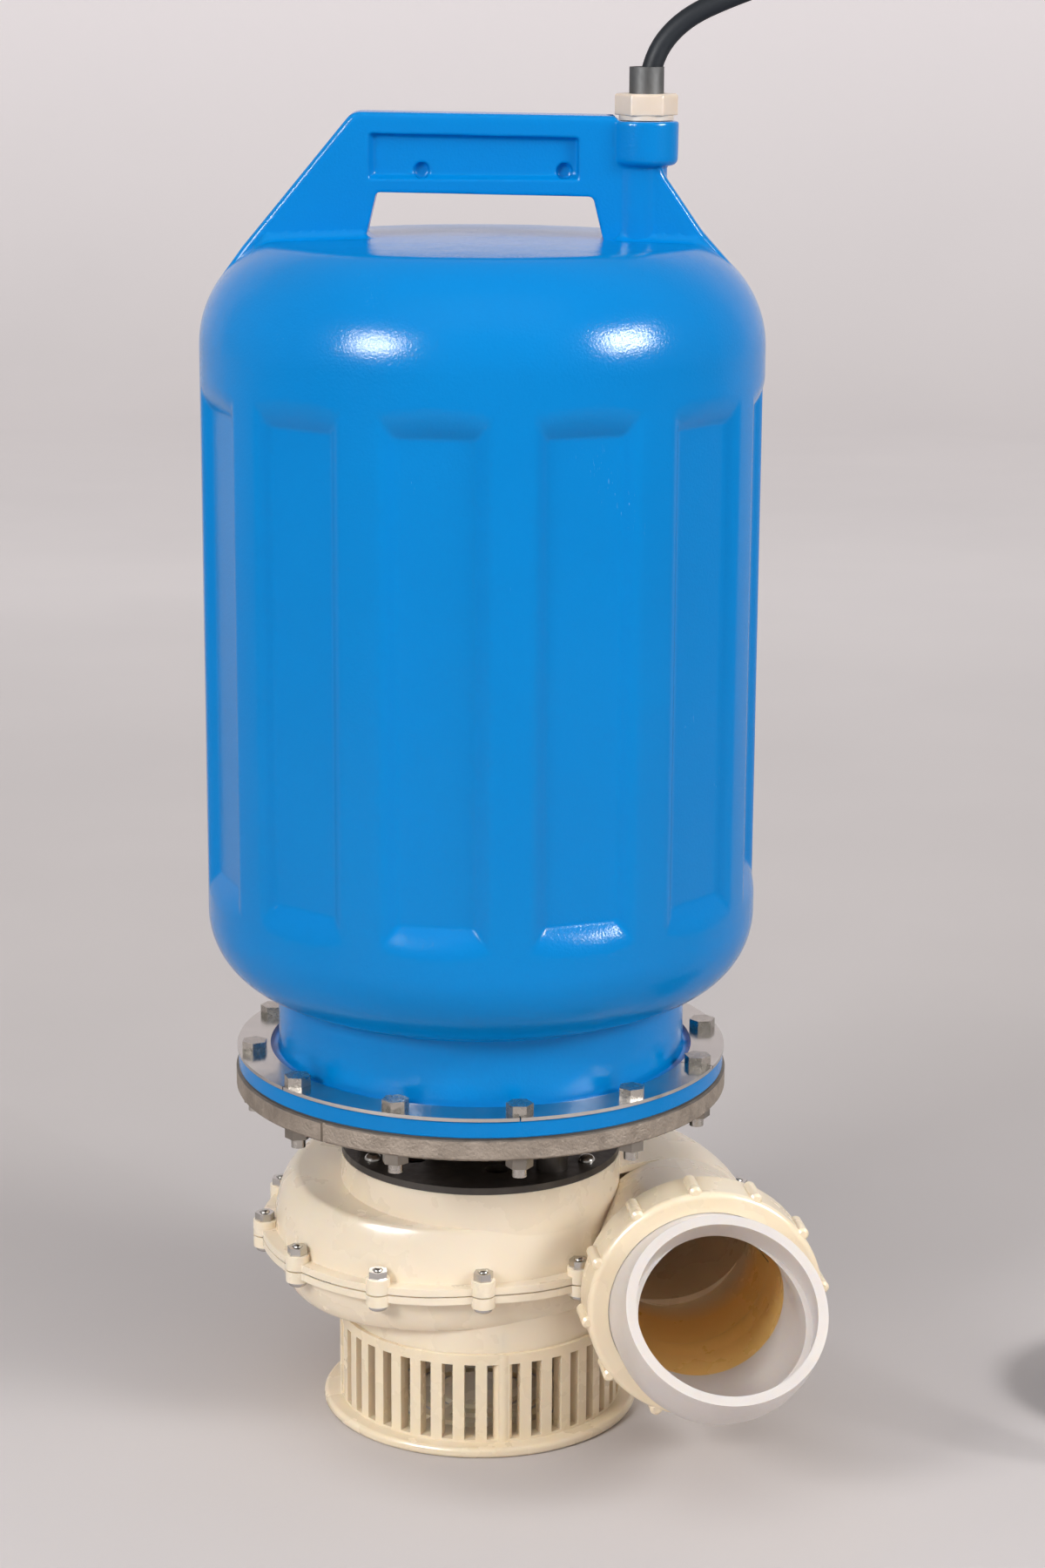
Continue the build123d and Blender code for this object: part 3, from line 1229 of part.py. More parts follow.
def main():
    """Builds every node and writes its STEP file."""
    os.makedirs("parts", exist_ok=True)
    nodes = {
        "strainer_basket": strainer_basket(),
        "strainer_screws": strainer_screws(),
        "lower_volute": lower_volute(),
        "volute_gasket": volute_gasket(),
        "upper_volute": upper_volute(),
        "volute_screws": volute_screws(),
        "volute_nuts": volute_nuts(),
        "outlet_gasket": outlet_gasket(),
        "union_nut": union_nut(),
        "discharge_elbow": discharge_elbow(),
        "seal_plate": seal_plate(),
        "plate_screws": plate_screws(),
        "motor_flange": motor_flange(),
        "bracket_screws": bracket_screws(),
        "flange_gasket": flange_gasket(),
        "motor_housing": motor_housing(),
        "clamp_ring": clamp_ring(),
        "flange_bolts": flange_bolts(),
        "flange_nuts": flange_nuts(),
        "gland_body": gland_body(),
        "gland_nut": gland_nut(),
        "cable_bush": cable_bush(),
        "motor_frame": motor_frame(),
        "motor_screws": motor_screws(),
        "end_shield": end_shield(),
        "shield_screws": shield_screws(),
        "stator_core": stator_core(),
        "stator_windings": stator_windings(),
        "rotor_core": rotor_core(),
        "shaft": shaft(),
        "shaft_key": key_block(0),
        "lower_bearing_outer": bearing_outer(LOWER_BEARING_Z),
        "lower_bearing_inner": bearing_inner(LOWER_BEARING_Z),
        "lower_bearing_balls": bearing_balls(LOWER_BEARING_Z),
        "upper_bearing_outer": bearing_outer(UPPER_BEARING_Z),
        "upper_bearing_inner": bearing_inner(UPPER_BEARING_Z),
        "upper_bearing_balls": bearing_balls(UPPER_BEARING_Z),
        "seal_seat": seal_seat(),
        "seal_head": seal_head(),
        "impeller": impeller(),
        "impeller_nut": impeller_nut(),
        "capacitor": capacitor(),
        "capacitor_clip": capacitor_clip(),
        "terminal_block": terminal_block(),
        "inner_lead": inner_lead(),
        "power_cable": power_cable(),
        "cable_coil": cable_coil(),
        "coil_tie": coil_tie(),
        "cable_end": cable_end(),
        "plug_body": plug_body(),
        "plug_pins": plug_pins(),
    }
    for name, shape in nodes.items():
        write(name, shape)


if __name__ == "__main__":
    main()
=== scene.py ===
import logging
import math
from collections.abc import Sequence
from dataclasses import dataclass
from enum import Enum
from typing import ClassVar

import bmesh
import bpy
from mathutils import Matrix, Vector


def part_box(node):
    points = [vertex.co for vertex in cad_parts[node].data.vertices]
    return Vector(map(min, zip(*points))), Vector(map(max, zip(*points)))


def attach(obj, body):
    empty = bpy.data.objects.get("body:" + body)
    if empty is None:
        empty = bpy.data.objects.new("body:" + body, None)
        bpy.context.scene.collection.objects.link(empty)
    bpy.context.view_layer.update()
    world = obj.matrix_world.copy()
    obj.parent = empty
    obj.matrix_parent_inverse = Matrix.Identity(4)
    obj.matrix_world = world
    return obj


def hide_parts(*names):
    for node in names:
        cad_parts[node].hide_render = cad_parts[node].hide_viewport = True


# Looks of a submersible volute pond pump. Metres, +Z up, front towards -Y, as in the frame.

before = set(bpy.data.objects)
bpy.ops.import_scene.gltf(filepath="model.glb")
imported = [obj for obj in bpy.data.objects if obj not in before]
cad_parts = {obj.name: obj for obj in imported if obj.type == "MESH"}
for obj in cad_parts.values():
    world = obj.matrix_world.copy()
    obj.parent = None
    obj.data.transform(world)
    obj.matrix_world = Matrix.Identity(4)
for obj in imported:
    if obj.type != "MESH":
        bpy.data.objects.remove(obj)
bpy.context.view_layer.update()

LOG = logging.getLogger("pump")
MM = 0.001
ARC_POINTS = 6                       # on each rounded corner of an outline

Colour = tuple[float, float, float]
Point = tuple[float, float, float]


class Body(Enum):
    """Rigid bodies of the frame that pieces ride on."""

    PUMP = "pump"
    ROTOR = "rotor"
    NUT = "union_nut"
    ELBOW = "elbow"


class NodeMaker:
    """Small helper that adds shader nodes to one material and links them.

    Args:
        material: The material whose node tree is filled.
    """

    def __init__(self, material: bpy.types.Material) -> None:
        """Keeps the tree and finds its main shader."""
        material.use_nodes = True
        self.tree = material.node_tree
        self.shader = self.tree.nodes["Principled BSDF"]
        self.place = self.tree.nodes.new("ShaderNodeTexCoord").outputs["Object"]

    def link(self, source: bpy.types.NodeSocket, target: bpy.types.NodeSocket) -> None:
        """Joins an output to an input."""
        self.tree.links.new(source, target)

    def noise(self, size: float, detail: float = 3.0, warp: float = 0.0,
              stretch: Point = (1.0, 1.0, 1.0)) -> bpy.types.NodeSocket:
        """Adds noise in object space.

        Args:
            size: Size of one blotch, in metres.
            detail: Octaves of finer noise.
            warp: Distortion of the noise.
            stretch: Scale along each axis.

        Returns:
            The value from 0 to 1.
        """
        node = self.tree.nodes.new("ShaderNodeTexNoise")
        node.inputs["Scale"].default_value = 1.0 / size
        node.inputs["Detail"].default_value = detail
        node.inputs["Distortion"].default_value = warp
        place = self.place
        if stretch != (1.0, 1.0, 1.0):
            place = self.vector("MULTIPLY", place, stretch).outputs["Vector"]
        self.link(place, node.inputs["Vector"])
        return node.outputs["Fac"]

    def vector(self, operation: str, first: bpy.types.NodeSocket | Point,
               second: bpy.types.NodeSocket | Point | None = None) -> bpy.types.Node:
        """Adds a vector maths node.

        Args:
            operation: Blender's name of the operation.
            first: Left vector or socket.
            second: Right vector or socket, where the operation takes one.

        Returns:
            The node.
        """
        node = self.tree.nodes.new("ShaderNodeVectorMath")
        node.operation = operation
        for target, value in zip(node.inputs, (first, second)):
            if isinstance(value, tuple):
                target.default_value = value
            elif value is not None:
                self.link(value, target)
        return node

    def ramp(self, source: bpy.types.NodeSocket, low: float, high: float,
             start: float = 0.0, end: float = 1.0) -> bpy.types.NodeSocket:
        """Maps a value range to another one, clamped.

        Args:
            source: Value to map.
            low: Value that gives start.
            high: Value that gives end.
            start: Result at low.
            end: Result at high.

        Returns:
            The mapped value.
        """
        node = self.tree.nodes.new("ShaderNodeMapRange")
        for name, value in zip(("From Min", "From Max", "To Min", "To Max"), (low, high, start, end)):
            node.inputs[name].default_value = value
        self.link(source, node.inputs["Value"])
        return node.outputs["Result"]

    def maths(self, operation: str, first: bpy.types.NodeSocket | float,
              second: bpy.types.NodeSocket | float = 0.0) -> bpy.types.NodeSocket:
        """Adds a maths node.

        Args:
            operation: Blender's name of the operation.
            first: Left value or socket.
            second: Right value or socket.

        Returns:
            The result.
        """
        node = self.tree.nodes.new("ShaderNodeMath")
        node.operation = operation
        for target, value in zip(node.inputs, (first, second)):
            if isinstance(value, (int, float)):
                target.default_value = value
            else:
                self.link(value, target)
        return node.outputs["Value"]

    def mix(self, share: bpy.types.NodeSocket, first: bpy.types.NodeSocket | Colour,
            second: bpy.types.NodeSocket | Colour) -> bpy.types.NodeSocket:
        """Mixes two colours by a share.

        Args:
            share: 0 gives the first colour and 1 the second.
            first: Colour or socket.
            second: Colour or socket.

        Returns:
            The mixed colour.
        """
        node = self.tree.nodes.new("ShaderNodeMix")
        node.data_type = "RGBA"
        self.link(share, node.inputs["Factor"])
        for target, value in ((node.inputs[6], first), (node.inputs[7], second)):
            if isinstance(value, tuple):
                target.default_value = (*value, 1.0)
            else:
                self.link(value, target)
        return node.outputs[2]

    def along(self, axis: int) -> bpy.types.NodeSocket:
        """Gives the place along X, Y or Z, numbered 0 to 2, in object space."""
        node = self.tree.nodes.new("ShaderNodeSeparateXYZ")
        self.link(self.place, node.inputs["Vector"])
        return node.outputs[axis]

    def from_axis(self, point: Point, direction: Point) -> bpy.types.NodeSocket:
        """Gives the distance from a straight axis.

        Args:
            point: A point on the axis, in metres.
            direction: Unit vector along it.

        Returns:
            The distance in metres.
        """
        reach = self.vector("SUBTRACT", self.place, point).outputs["Vector"]
        cross = self.vector("CROSS_PRODUCT", reach, direction).outputs["Vector"]
        return self.vector("LENGTH", cross).outputs["Value"]

    def outward(self, point: Point, direction: Point) -> bpy.types.NodeSocket:
        """Tells whether the surface looks away from a straight axis.

        Args:
            point: A point on the axis, in metres.
            direction: Unit vector along it.

        Returns:
            A value above zero on surfaces that look away and below zero on those that look towards it.
        """
        reach = self.vector("SUBTRACT", self.place, point).outputs["Vector"]
        around = self.vector("CROSS_PRODUCT", direction, reach).outputs["Vector"]
        away = self.vector("CROSS_PRODUCT", around, direction).outputs["Vector"]
        normal = self.tree.nodes.new("ShaderNodeNewGeometry").outputs["True Normal"]
        return self.vector("DOT_PRODUCT", away, normal).outputs["Value"]

    def bump(self, layers: list[tuple[bpy.types.NodeSocket, float]]) -> None:
        """Chains bump nodes into the shader's normal.

        Args:
            layers: Height sockets with their depth in metres.
        """
        normal = None
        for value, depth in layers:
            node = self.tree.nodes.new("ShaderNodeBump")
            node.inputs["Distance"].default_value = depth
            self.link(value, node.inputs["Height"])
            if normal is not None:
                self.link(normal, node.inputs["Normal"])
            normal = node.outputs["Normal"]
        if normal is not None:
            self.link(normal, self.shader.inputs["Normal"])


@dataclass(frozen=True)
class Finish:
    """A surface finish, made of mottled colour, uneven gloss and fine relief.

    Args:
        name: Name of the material.
        slot: The record's material slot that it belongs to; not used.
        colour: Main colour, linear.
        shade: Colour of the mottling.
        mottle: Size of the mottling in metres.
        roughness: Lowest and highest roughness.
        grain: Size and depth of the fine relief in metres.
        wave: Size and depth of the slow relief in metres.
        metallic: 1 for bare metal.
        depth_glow: Share of light that enters and leaves the material.
        glow_reach: How far that light travels, in metres.
        glow_tint: How far red, green and blue travel, as shares of that.
        shine: Specular level, 0.5 for common plastic.
    """

    name: str
    slot: str
    colour: Colour
    shade: Colour
    mottle: float = 0.03
    roughness: tuple[float, float] = (0.3, 0.4)
    grain: tuple[float, float] = (0.001, 0.00002)
    wave: tuple[float, float] = (0.02, 0.0)
    metallic: float = 0.0
    depth_glow: float = 0.0
    glow_reach: float = 0.003
    glow_tint: Colour = (1.0, 0.75, 0.45)
    shine: float = 0.5

    def material(self) -> bpy.types.Material:
        """Makes the material once and gives it again when asked later.

        Returns:
            The material.
        """
        found = bpy.data.materials.get(self.name)
        if found is not None:
            return found
        material = bpy.data.materials.new(self.name)
        self.fill(NodeMaker(material))
        material.diffuse_color = (*self.colour, 1.0)
        return material

    def fill(self, nodes: NodeMaker) -> None:
        """Fills the node tree: constants first, then colour, gloss and relief.

        Args:
            nodes: The helper that holds the tree.
        """
        shader = nodes.shader
        shader.inputs["Metallic"].default_value = self.metallic
        shader.inputs["Specular IOR Level"].default_value = self.shine
        shader.inputs["Subsurface Weight"].default_value = self.depth_glow
        shader.inputs["Subsurface Scale"].default_value = self.glow_reach
        shader.inputs["Subsurface Radius"].default_value = self.glow_tint
        nodes.link(self.tint(nodes), shader.inputs["Base Color"])
        nodes.link(self.gloss(nodes), shader.inputs["Roughness"])
        nodes.bump(self.relief(nodes))

    def tint(self, nodes: NodeMaker) -> bpy.types.NodeSocket:
        """Gives the mottled colour."""
        share = nodes.ramp(nodes.noise(self.mottle, 2.0), 0.2, 0.8)
        return nodes.mix(share, self.colour, self.shade)

    def gloss(self, nodes: NodeMaker) -> bpy.types.NodeSocket:
        """Gives the uneven roughness."""
        low, high = self.roughness
        return nodes.ramp(nodes.noise(self.mottle * 0.6, 4.0), 0.3, 0.7, low, high)

    def relief(self, nodes: NodeMaker) -> list[tuple[bpy.types.NodeSocket, float]]:
        """Gives the slow and the fine relief.

        Args:
            nodes: The helper that holds the tree.

        Returns:
            Height sockets with their depth in metres.
        """
        layers = []
        for size, depth in (self.wave, self.grain):
            if depth > 0.0:
                layers.append((nodes.noise(size, 2.0), depth))
        return layers


@dataclass(frozen=True)
class MouldedShell(Finish):
    """Glossy blow-moulded plastic with a faint orange peel and a few scuffs."""

    scuff: Colour = (0.35, 0.55, 0.8)
    scuff_size: float = 0.004
    scuff_stretch: Point = (6.0, 6.0, 0.5)
    scuff_patch: float = 0.05        # size of the places that have scuffs
    scuff_weight: float = 0.5

    def tint(self, nodes: NodeMaker) -> bpy.types.NodeSocket:
        """Gives mottled blue with pale scuffs that are long, thin and rare.

        Args:
            nodes: The helper that holds the tree.

        Returns:
            The colour.
        """
        base = super().tint(nodes)
        lines = nodes.noise(self.scuff_size, 6.0, 1.5, self.scuff_stretch)
        rare = nodes.ramp(nodes.noise(self.scuff_patch, 2.0), 0.66, 0.74)
        scuffs = nodes.maths("MULTIPLY", nodes.ramp(lines, 0.67, 0.72), rare)
        return nodes.mix(nodes.maths("MULTIPLY", scuffs, self.scuff_weight), base, self.scuff)


@dataclass(frozen=True)
class SandCasting(Finish):
    """Rough sand-cast metal with pits and darker skin in its hollows."""

    pit: Colour = (0.16, 0.14, 0.12)
    pit_size: float = 0.0022
    pit_weight: float = 0.6
    skin: tuple[float, float] = (0.012, 0.0006)
    sand: tuple[float, float] = (0.0017, 0.0004)

    def tint(self, nodes: NodeMaker) -> bpy.types.NodeSocket:
        """Gives mottled grey with dark pits."""
        base = super().tint(nodes)
        pits = nodes.ramp(nodes.noise(self.pit_size, 5.0), 0.62, 0.72)
        return nodes.mix(nodes.maths("MULTIPLY", pits, self.pit_weight), base, self.pit)

    def relief(self, nodes: NodeMaker) -> list[tuple[bpy.types.NodeSocket, float]]:
        """Gives grains of sand over a slow unevenness."""
        slow = (nodes.noise(self.skin[0], 3.0), self.skin[1])
        return [slow, (nodes.noise(self.sand[0], 4.0), self.sand[1])]


@dataclass(frozen=True)
class BrushedMetal(Finish):
    """Bright metal with fine turning marks across its height."""

    metallic: float = 1.0
    dents: tuple[float, float] = (0.05, 0.0002)
    marks: tuple[float, float] = (0.0006, 0.000005)

    def relief(self, nodes: NodeMaker) -> list[tuple[bpy.types.NodeSocket, float]]:
        """Gives fine lines and a little pressing unevenness."""
        lines = nodes.noise(self.marks[0], 2.0, 0.0, (1.0, 1.0, 6.0))
        return [(nodes.noise(self.dents[0], 0.0), self.dents[1]), (lines, self.marks[1])]


@dataclass(frozen=True)
class WeldedPlates(Finish):
    """Stacked thin sheets that show as lines across the height."""

    pitch: float = 0.001
    ridge: float = 0.0002            # depth of the line at each sheet

    def relief(self, nodes: NodeMaker) -> list[tuple[bpy.types.NodeSocket, float]]:
        """Gives saw-tooth lines, one for each sheet."""
        steps = nodes.maths("FRACT", nodes.maths("DIVIDE", nodes.along(2), self.pitch))
        return [(steps, self.ridge)]


@dataclass(frozen=True)
class PipeWithPaintedGlow(Finish):
    """Plastic whose bore round the outlet's axis gets painted light: an amber glow painted into its colour,
    standing for light through the translucent wall into the shaded bore.

    Args:
        painted_glow: The painted amber glow in the bore, linear.
        point: A point on the outlet's axis, in metres.
        direction: Unit vector along it, 8 degrees from -Y.
        bore: Reach of the painted glow from the axis.
        rim: Length over which it ends at that reach.
        back: Place on Y behind which the painted glow ends.
        fade: Length over which it ends there.
        inward: Values of outward() over which the painted glow comes in.
    """

    # painted light: amber glow standing for light through the translucent wall into the shaded bore
    painted_glow: Colour = (1.0, 0.66, 0.24)
    point: Point = (0.1123, 0.0, 0.099)
    direction: Point = (0.13917, -0.99027, 0.0)
    bore: float = 0.0505
    rim: float = 0.001
    back: float = 0.0
    fade: float = 0.02
    inward: tuple[float, float] = (-0.002, -0.008)

    def tint(self, nodes: NodeMaker) -> bpy.types.NodeSocket:
        """Gives the common colour outside and the painted amber glow in the bore.

        Args:
            nodes: The helper that holds the tree.

        Returns:
            The colour.
        """
        base = super().tint(nodes)
        reach = nodes.from_axis(self.point, self.direction)
        inside = nodes.ramp(reach, self.bore, self.bore - self.rim)
        front = nodes.ramp(nodes.along(1), self.back, self.back - self.fade)
        inner = nodes.ramp(nodes.outward(self.point, self.direction), *self.inward)
        share = nodes.maths("MULTIPLY", nodes.maths("MULTIPLY", inside, front), inner)
        # painted light: the amber glow is mixed into the bore's surfaces that look towards the axis
        return nodes.mix(share, base, self.painted_glow)


BLUE = MouldedShell("BlueShell", "blue_plastic", (0.0, 0.204, 0.56), (0.0, 0.19, 0.53), 0.12,
                    (0.13, 0.19), (0.0014, 0.00012), (0.035, 0.0004), shine=0.15)
CREAM = Finish("CreamPlastic", "cream_plastic", (0.86, 0.74, 0.56), (0.84, 0.7, 0.5), 0.05,
               (0.22, 0.32), (0.0025, 0.00003), (0.02, 0.0002), depth_glow=0.3, glow_reach=0.004)
# the casing's bore gets a painted amber glow, standing for light through the translucent wall
CASING = PipeWithPaintedGlow("CasingPlastic", "cream_plastic", (0.86, 0.75, 0.6), (0.85, 0.73, 0.56), 0.05,
                   (0.26, 0.3), (0.0025, 0.00003), (0.03, 0.00015), depth_glow=0.3, glow_reach=0.004)
WHITE = Finish("WhitePlastic", "white_plastic", (0.66, 0.61, 0.58), (0.64, 0.585, 0.55), 0.04,
               (0.3, 0.42), (0.0015, 0.00002), (0.015, 0.0002), depth_glow=0.5, glow_reach=0.006)
GLAND = Finish("GlandPlastic", "gland_plastic", (0.7, 0.59, 0.49), (0.66, 0.54, 0.43), 0.01,
               (0.3, 0.4), depth_glow=0.2, glow_reach=0.002)
STAINLESS = BrushedMetal("Stainless", "stainless", (0.56, 0.54, 0.51), (0.5, 0.475, 0.45), 0.02,
                         (0.14, 0.24))
BOLTS = BrushedMetal("BoltSteel", "stainless", (0.45, 0.42, 0.38), (0.38, 0.35, 0.32), 0.008,
                     (0.2, 0.34))
THREADS = BrushedMetal("DullStainless", "stainless", (0.25, 0.22, 0.19), (0.2, 0.18, 0.155), 0.008,
                       (0.3, 0.42))
STEEL = BrushedMetal("MachinedSteel", "steel", (0.45, 0.45, 0.46), (0.38, 0.38, 0.39), 0.01,
                     (0.25, 0.4))
CASTING = SandCasting("SandCasting", "cast_aluminium", (0.27, 0.225, 0.185), (0.19, 0.155, 0.125), 0.012,
                      (0.5, 0.75), metallic=0.65)
IRON = Finish("PaintedIron", "black_iron", (0.04, 0.034, 0.029), (0.075, 0.062, 0.052), 0.012,
              (0.3, 0.5), (0.0016, 0.0001), (0.01, 0.0002), metallic=0.2)
RUBBER = Finish("BlackRubber", "rubber", (0.03, 0.03, 0.03), (0.045, 0.043, 0.041), 0.008,
                (0.45, 0.65), (0.0008, 0.00004))
SHEATH = Finish("CableSheath", "cable_rubber", (0.013, 0.016, 0.021), (0.02, 0.023, 0.028), 0.02,
                (0.5, 0.6), (0.0009, 0.00003), (0.015, 0.0001), shine=0.12)
LAMINATION = WeldedPlates("Laminations", "lamination", (0.22, 0.22, 0.23), (0.17, 0.17, 0.18), 0.01,
                          (0.35, 0.5), metallic=0.9)
COPPER = Finish("EnamelledCopper", "copper", (0.72, 0.33, 0.16), (0.55, 0.22, 0.1), 0.004,
                (0.2, 0.35), (0.0012, 0.0003), metallic=0.9)
CERAMIC = Finish("SealCeramic", "ceramic", (0.75, 0.74, 0.7), (0.7, 0.69, 0.65), 0.01, (0.3, 0.4))
IMPELLER = Finish("FilledPlastic", "impeller_plastic", (0.1, 0.1, 0.11), (0.13, 0.13, 0.14), 0.008,
                  (0.35, 0.5), (0.001, 0.00004))
CAN = Finish("CapacitorCan", "capacitor_can", (0.55, 0.56, 0.58), (0.5, 0.51, 0.53), 0.02, (0.3, 0.45))
TERMINAL = Finish("TerminalBlock", "terminal_plastic", (0.12, 0.12, 0.12), (0.1, 0.1, 0.1), 0.01,
                  (0.4, 0.5))
PINS = BrushedMetal("PlatedPins", "brass_pins", (0.75, 0.6, 0.3), (0.68, 0.52, 0.25), 0.004,
                    (0.15, 0.3))


@dataclass
class Studio:
    """Camera, floor, backdrop and lamps round the pump. Metres, watts and degrees."""

    eye: Point = (0.0232, -1.8529, 0.8253)
    tilt: float = 76.23              # degrees up from looking straight down
    roll: float = 0.32
    lens: float = 77.36              # millimetres, on a frame 36 mm wide
    floor_colour: Colour = (0.57, 0.525, 0.515)
    floor_mottle: float = 0.6
    floor_shade: float = 0.93
    sheet_roughness: float = 0.85
    wall_colour: Colour = (0.95, 0.885, 0.905)
    wall_from: float = 0.9           # height at which the wall's colour is full
    floor_front: float = -4.0
    floor_back: float = 5.2
    wall_height: float = 4.5
    bend: float = 1.0
    half_width: float = 6.0
    glow: float = 0.3                # makes up for the lamps' distance from the backdrop
    glow_colour: Colour = (1.0, 0.95, 0.965)
    glow_span: tuple[float, float] = (0.2, 2.6)
    sky: Colour = (1.0, 0.985, 0.97)
    sky_strength: float = 0.42
    box_distance: float = 2.2
    box_size: tuple[float, float] = (0.76, 0.6)
    box_power: float = 30.0
    box_shine: float = 150.0         # power of the part that only reflections show
    left_box: tuple[Point, Point] = ((-0.052, -0.144, 0.635), (-0.647, -0.671, 0.362))
    right_box: tuple[Point, Point] = ((0.075, -0.133, 0.637), (0.829, -0.416, 0.374))
    overhead_place: Point = (0.0, -1.3, 2.6)
    overhead_target: Point = (0.0, 0.0, 0.5)
    overhead_size: tuple[float, float] = (2.4, 1.6)
    overhead_power: float = 20.0

    def build(self) -> None:
        """Makes the camera first, then the floor and the light."""
        self.camera()
        self.backdrop()
        self.light()
        view = bpy.context.scene.view_settings
        view.view_transform = "Standard"

    def camera(self) -> None:
        """Puts the camera at the photograph's place."""
        data = bpy.data.cameras.new("Camera")
        data.lens = self.lens
        data.clip_end = 50.0
        camera = add_object("Camera", data)
        camera.rotation_mode = "ZYX"
        camera.location = self.eye
        camera.rotation_euler = (math.radians(self.tilt), 0.0, math.radians(self.roll))
        bpy.context.scene.camera = camera

    def backdrop(self) -> None:
        """Makes one sheet that is the floor in front and bends up into the wall behind."""
        steps = 16
        line = [(self.floor_front, 0.0), (self.floor_back - self.bend, 0.0)]
        for k in range(1, steps):
            turn = math.radians(90.0 * k / steps)
            line.append((self.floor_back - self.bend + self.bend * math.sin(turn),
                         self.bend * (1.0 - math.cos(turn))))
        line += [(self.floor_back, self.bend), (self.floor_back, self.wall_height)]
        vertices = [(side * self.half_width, y, z) for y, z in line for side in (-1, 1)]
        faces = [(2 * k, 2 * k + 1, 2 * k + 3, 2 * k + 2) for k in range(len(line) - 1)]
        sheet = mesh_piece("Backdrop", vertices, faces)
        material = bpy.data.materials.new("PaleSheet")
        nodes = NodeMaker(material)
        nodes.shader.inputs["Roughness"].default_value = self.sheet_roughness
        darker = tuple(self.floor_shade * part for part in self.floor_colour)
        share = nodes.ramp(nodes.noise(self.floor_mottle, 3.0), 0.35, 0.65)
        floor = nodes.mix(share, self.floor_colour, darker)
        rise = nodes.ramp(nodes.along(2), 0.0, self.wall_from)
        nodes.link(nodes.mix(rise, floor, self.wall_colour), nodes.shader.inputs["Base Color"])
        path = nodes.tree.nodes.new("ShaderNodeLightPath").outputs
        seen = nodes.maths("MAXIMUM", path["Is Camera Ray"], path["Is Glossy Ray"])
        seen = nodes.maths("MAXIMUM", seen, path["Is Transmission Ray"])
        far = nodes.ramp(nodes.along(1), *self.glow_span, 0.0, self.glow)
        nodes.link(nodes.maths("MULTIPLY", seen, far), nodes.shader.inputs["Emission Strength"])
        nodes.shader.inputs["Emission Color"].default_value = (*self.glow_colour, 1.0)
        sheet.data.materials.append(material)

    def light(self) -> None:
        """Adds softboxes whose reflections lie on the shoulder, a soft lamp overhead and a sky."""
        for name, (spot, way) in (("BoxLeft", self.left_box), ("BoxRight", self.right_box)):
            target = Vector(spot)
            place = target + Vector(way).normalized() * self.box_distance
            self.lamp(name, place, target, self.box_size, self.box_power).visible_glossy = False
            shine = self.lamp(name + "Shine", place, target, self.box_size, self.box_shine)
            shine.visible_diffuse = False
        overhead = self.lamp("Overhead", Vector(self.overhead_place), Vector(self.overhead_target),
                             self.overhead_size, self.overhead_power)
        overhead.visible_glossy = False
        world = bpy.data.worlds.new("Sky")
        bpy.context.scene.world = world
        world.use_nodes = True
        ground = world.node_tree.nodes["Background"]
        ground.inputs["Color"].default_value = (*self.sky, 1.0)
        ground.inputs["Strength"].default_value = self.sky_strength

    def lamp(self, name: str, place: Vector, target: Vector, size: tuple[float, float],
             power: float) -> bpy.types.Object:
        """Adds one area lamp that looks at the target.

        Args:
            name: Name of the lamp.
            place: Where it stands.
            target: The point that it looks at.
            size: Its width and height.
            power: Its power in watts.

        Returns:
            The lamp.
        """
        data = bpy.data.lights.new(name, "AREA")
        data.shape = "RECTANGLE"
        data.size, data.size_y = size
        data.energy = power
        lamp = add_object(name, data)
        lamp.location = place
        lamp.rotation_euler = (target - place).to_track_quat("-Z", "Y").to_euler()
        return lamp


def add_object(name: str, data: bpy.types.ID) -> bpy.types.Object:
    """Makes an object of a mesh, curve, camera or lamp and puts it into the scene."""
    made = bpy.data.objects.new(name, data)
    bpy.context.scene.collection.objects.link(made)
    return made


def face_out(mesh: bpy.types.Mesh, merge: float = 0.0) -> None:
    """Turns the faces of a closed mesh outwards.

    Args:
        mesh: The mesh.
        merge: Distance in metres within which points are first merged.
    """
    made = bmesh.new()
    made.from_mesh(mesh)
    if merge > 0.0:
        bmesh.ops.remove_doubles(made, verts=made.verts, dist=merge)
    bmesh.ops.recalc_face_normals(made, faces=made.faces)
    made.to_mesh(mesh)
    made.free()


def mesh_piece(name: str, vertices: list[Point], faces: list[tuple[int, ...]]) -> bpy.types.Object:
    """Makes a smooth mesh object from points and faces.

    Args:
        name: Name of the piece.
        vertices: Points in metres.
        faces: Loops of vertex numbers.

    Returns:
        The new object, in the scene.
    """
    mesh = bpy.data.meshes.new(name)
    mesh.from_pydata(vertices, [], faces)
    mesh.validate()
    face_out(mesh)
    mesh.polygons.foreach_set("use_smooth", [True] * len(mesh.polygons))
    return add_object(name, mesh)


def soft_above(value: float, width: float) -> float:
    """Gives the value above zero and zero below it, with a rounded corner.

    Args:
        value: The value.
        width: How wide the rounding is on each side of zero.

    Returns:
        The softened value, never below zero.
    """
    if value <= -width:
        return 0.0
    if value >= width:
        return value
    return (value + width) ** 2 / (4.0 * width)


def grid_faces(rows: int, columns: int) -> list[tuple[int, ...]]:
    """Makes the faces of a grid that closes on itself along its columns.

    Args:
        rows: Number of rings.
        columns: Points in one ring.

    Returns:
        Loops of vertex numbers.
    """
    faces = []
    for row in range(rows - 1):
        for column in range(columns):
            after = (column + 1) % columns
            here, above = row * columns, (row + 1) * columns
            faces.append((here + column, here + after, above + after, above + column))
    return faces


def closed_faces(rows: int, columns: int) -> list[tuple[int, ...]]:
    """Makes the faces of such a grid and one more over each end."""
    last = (rows - 1) * columns
    return grid_faces(rows, columns) + [tuple(reversed(range(columns))), tuple(range(last, last + columns))]


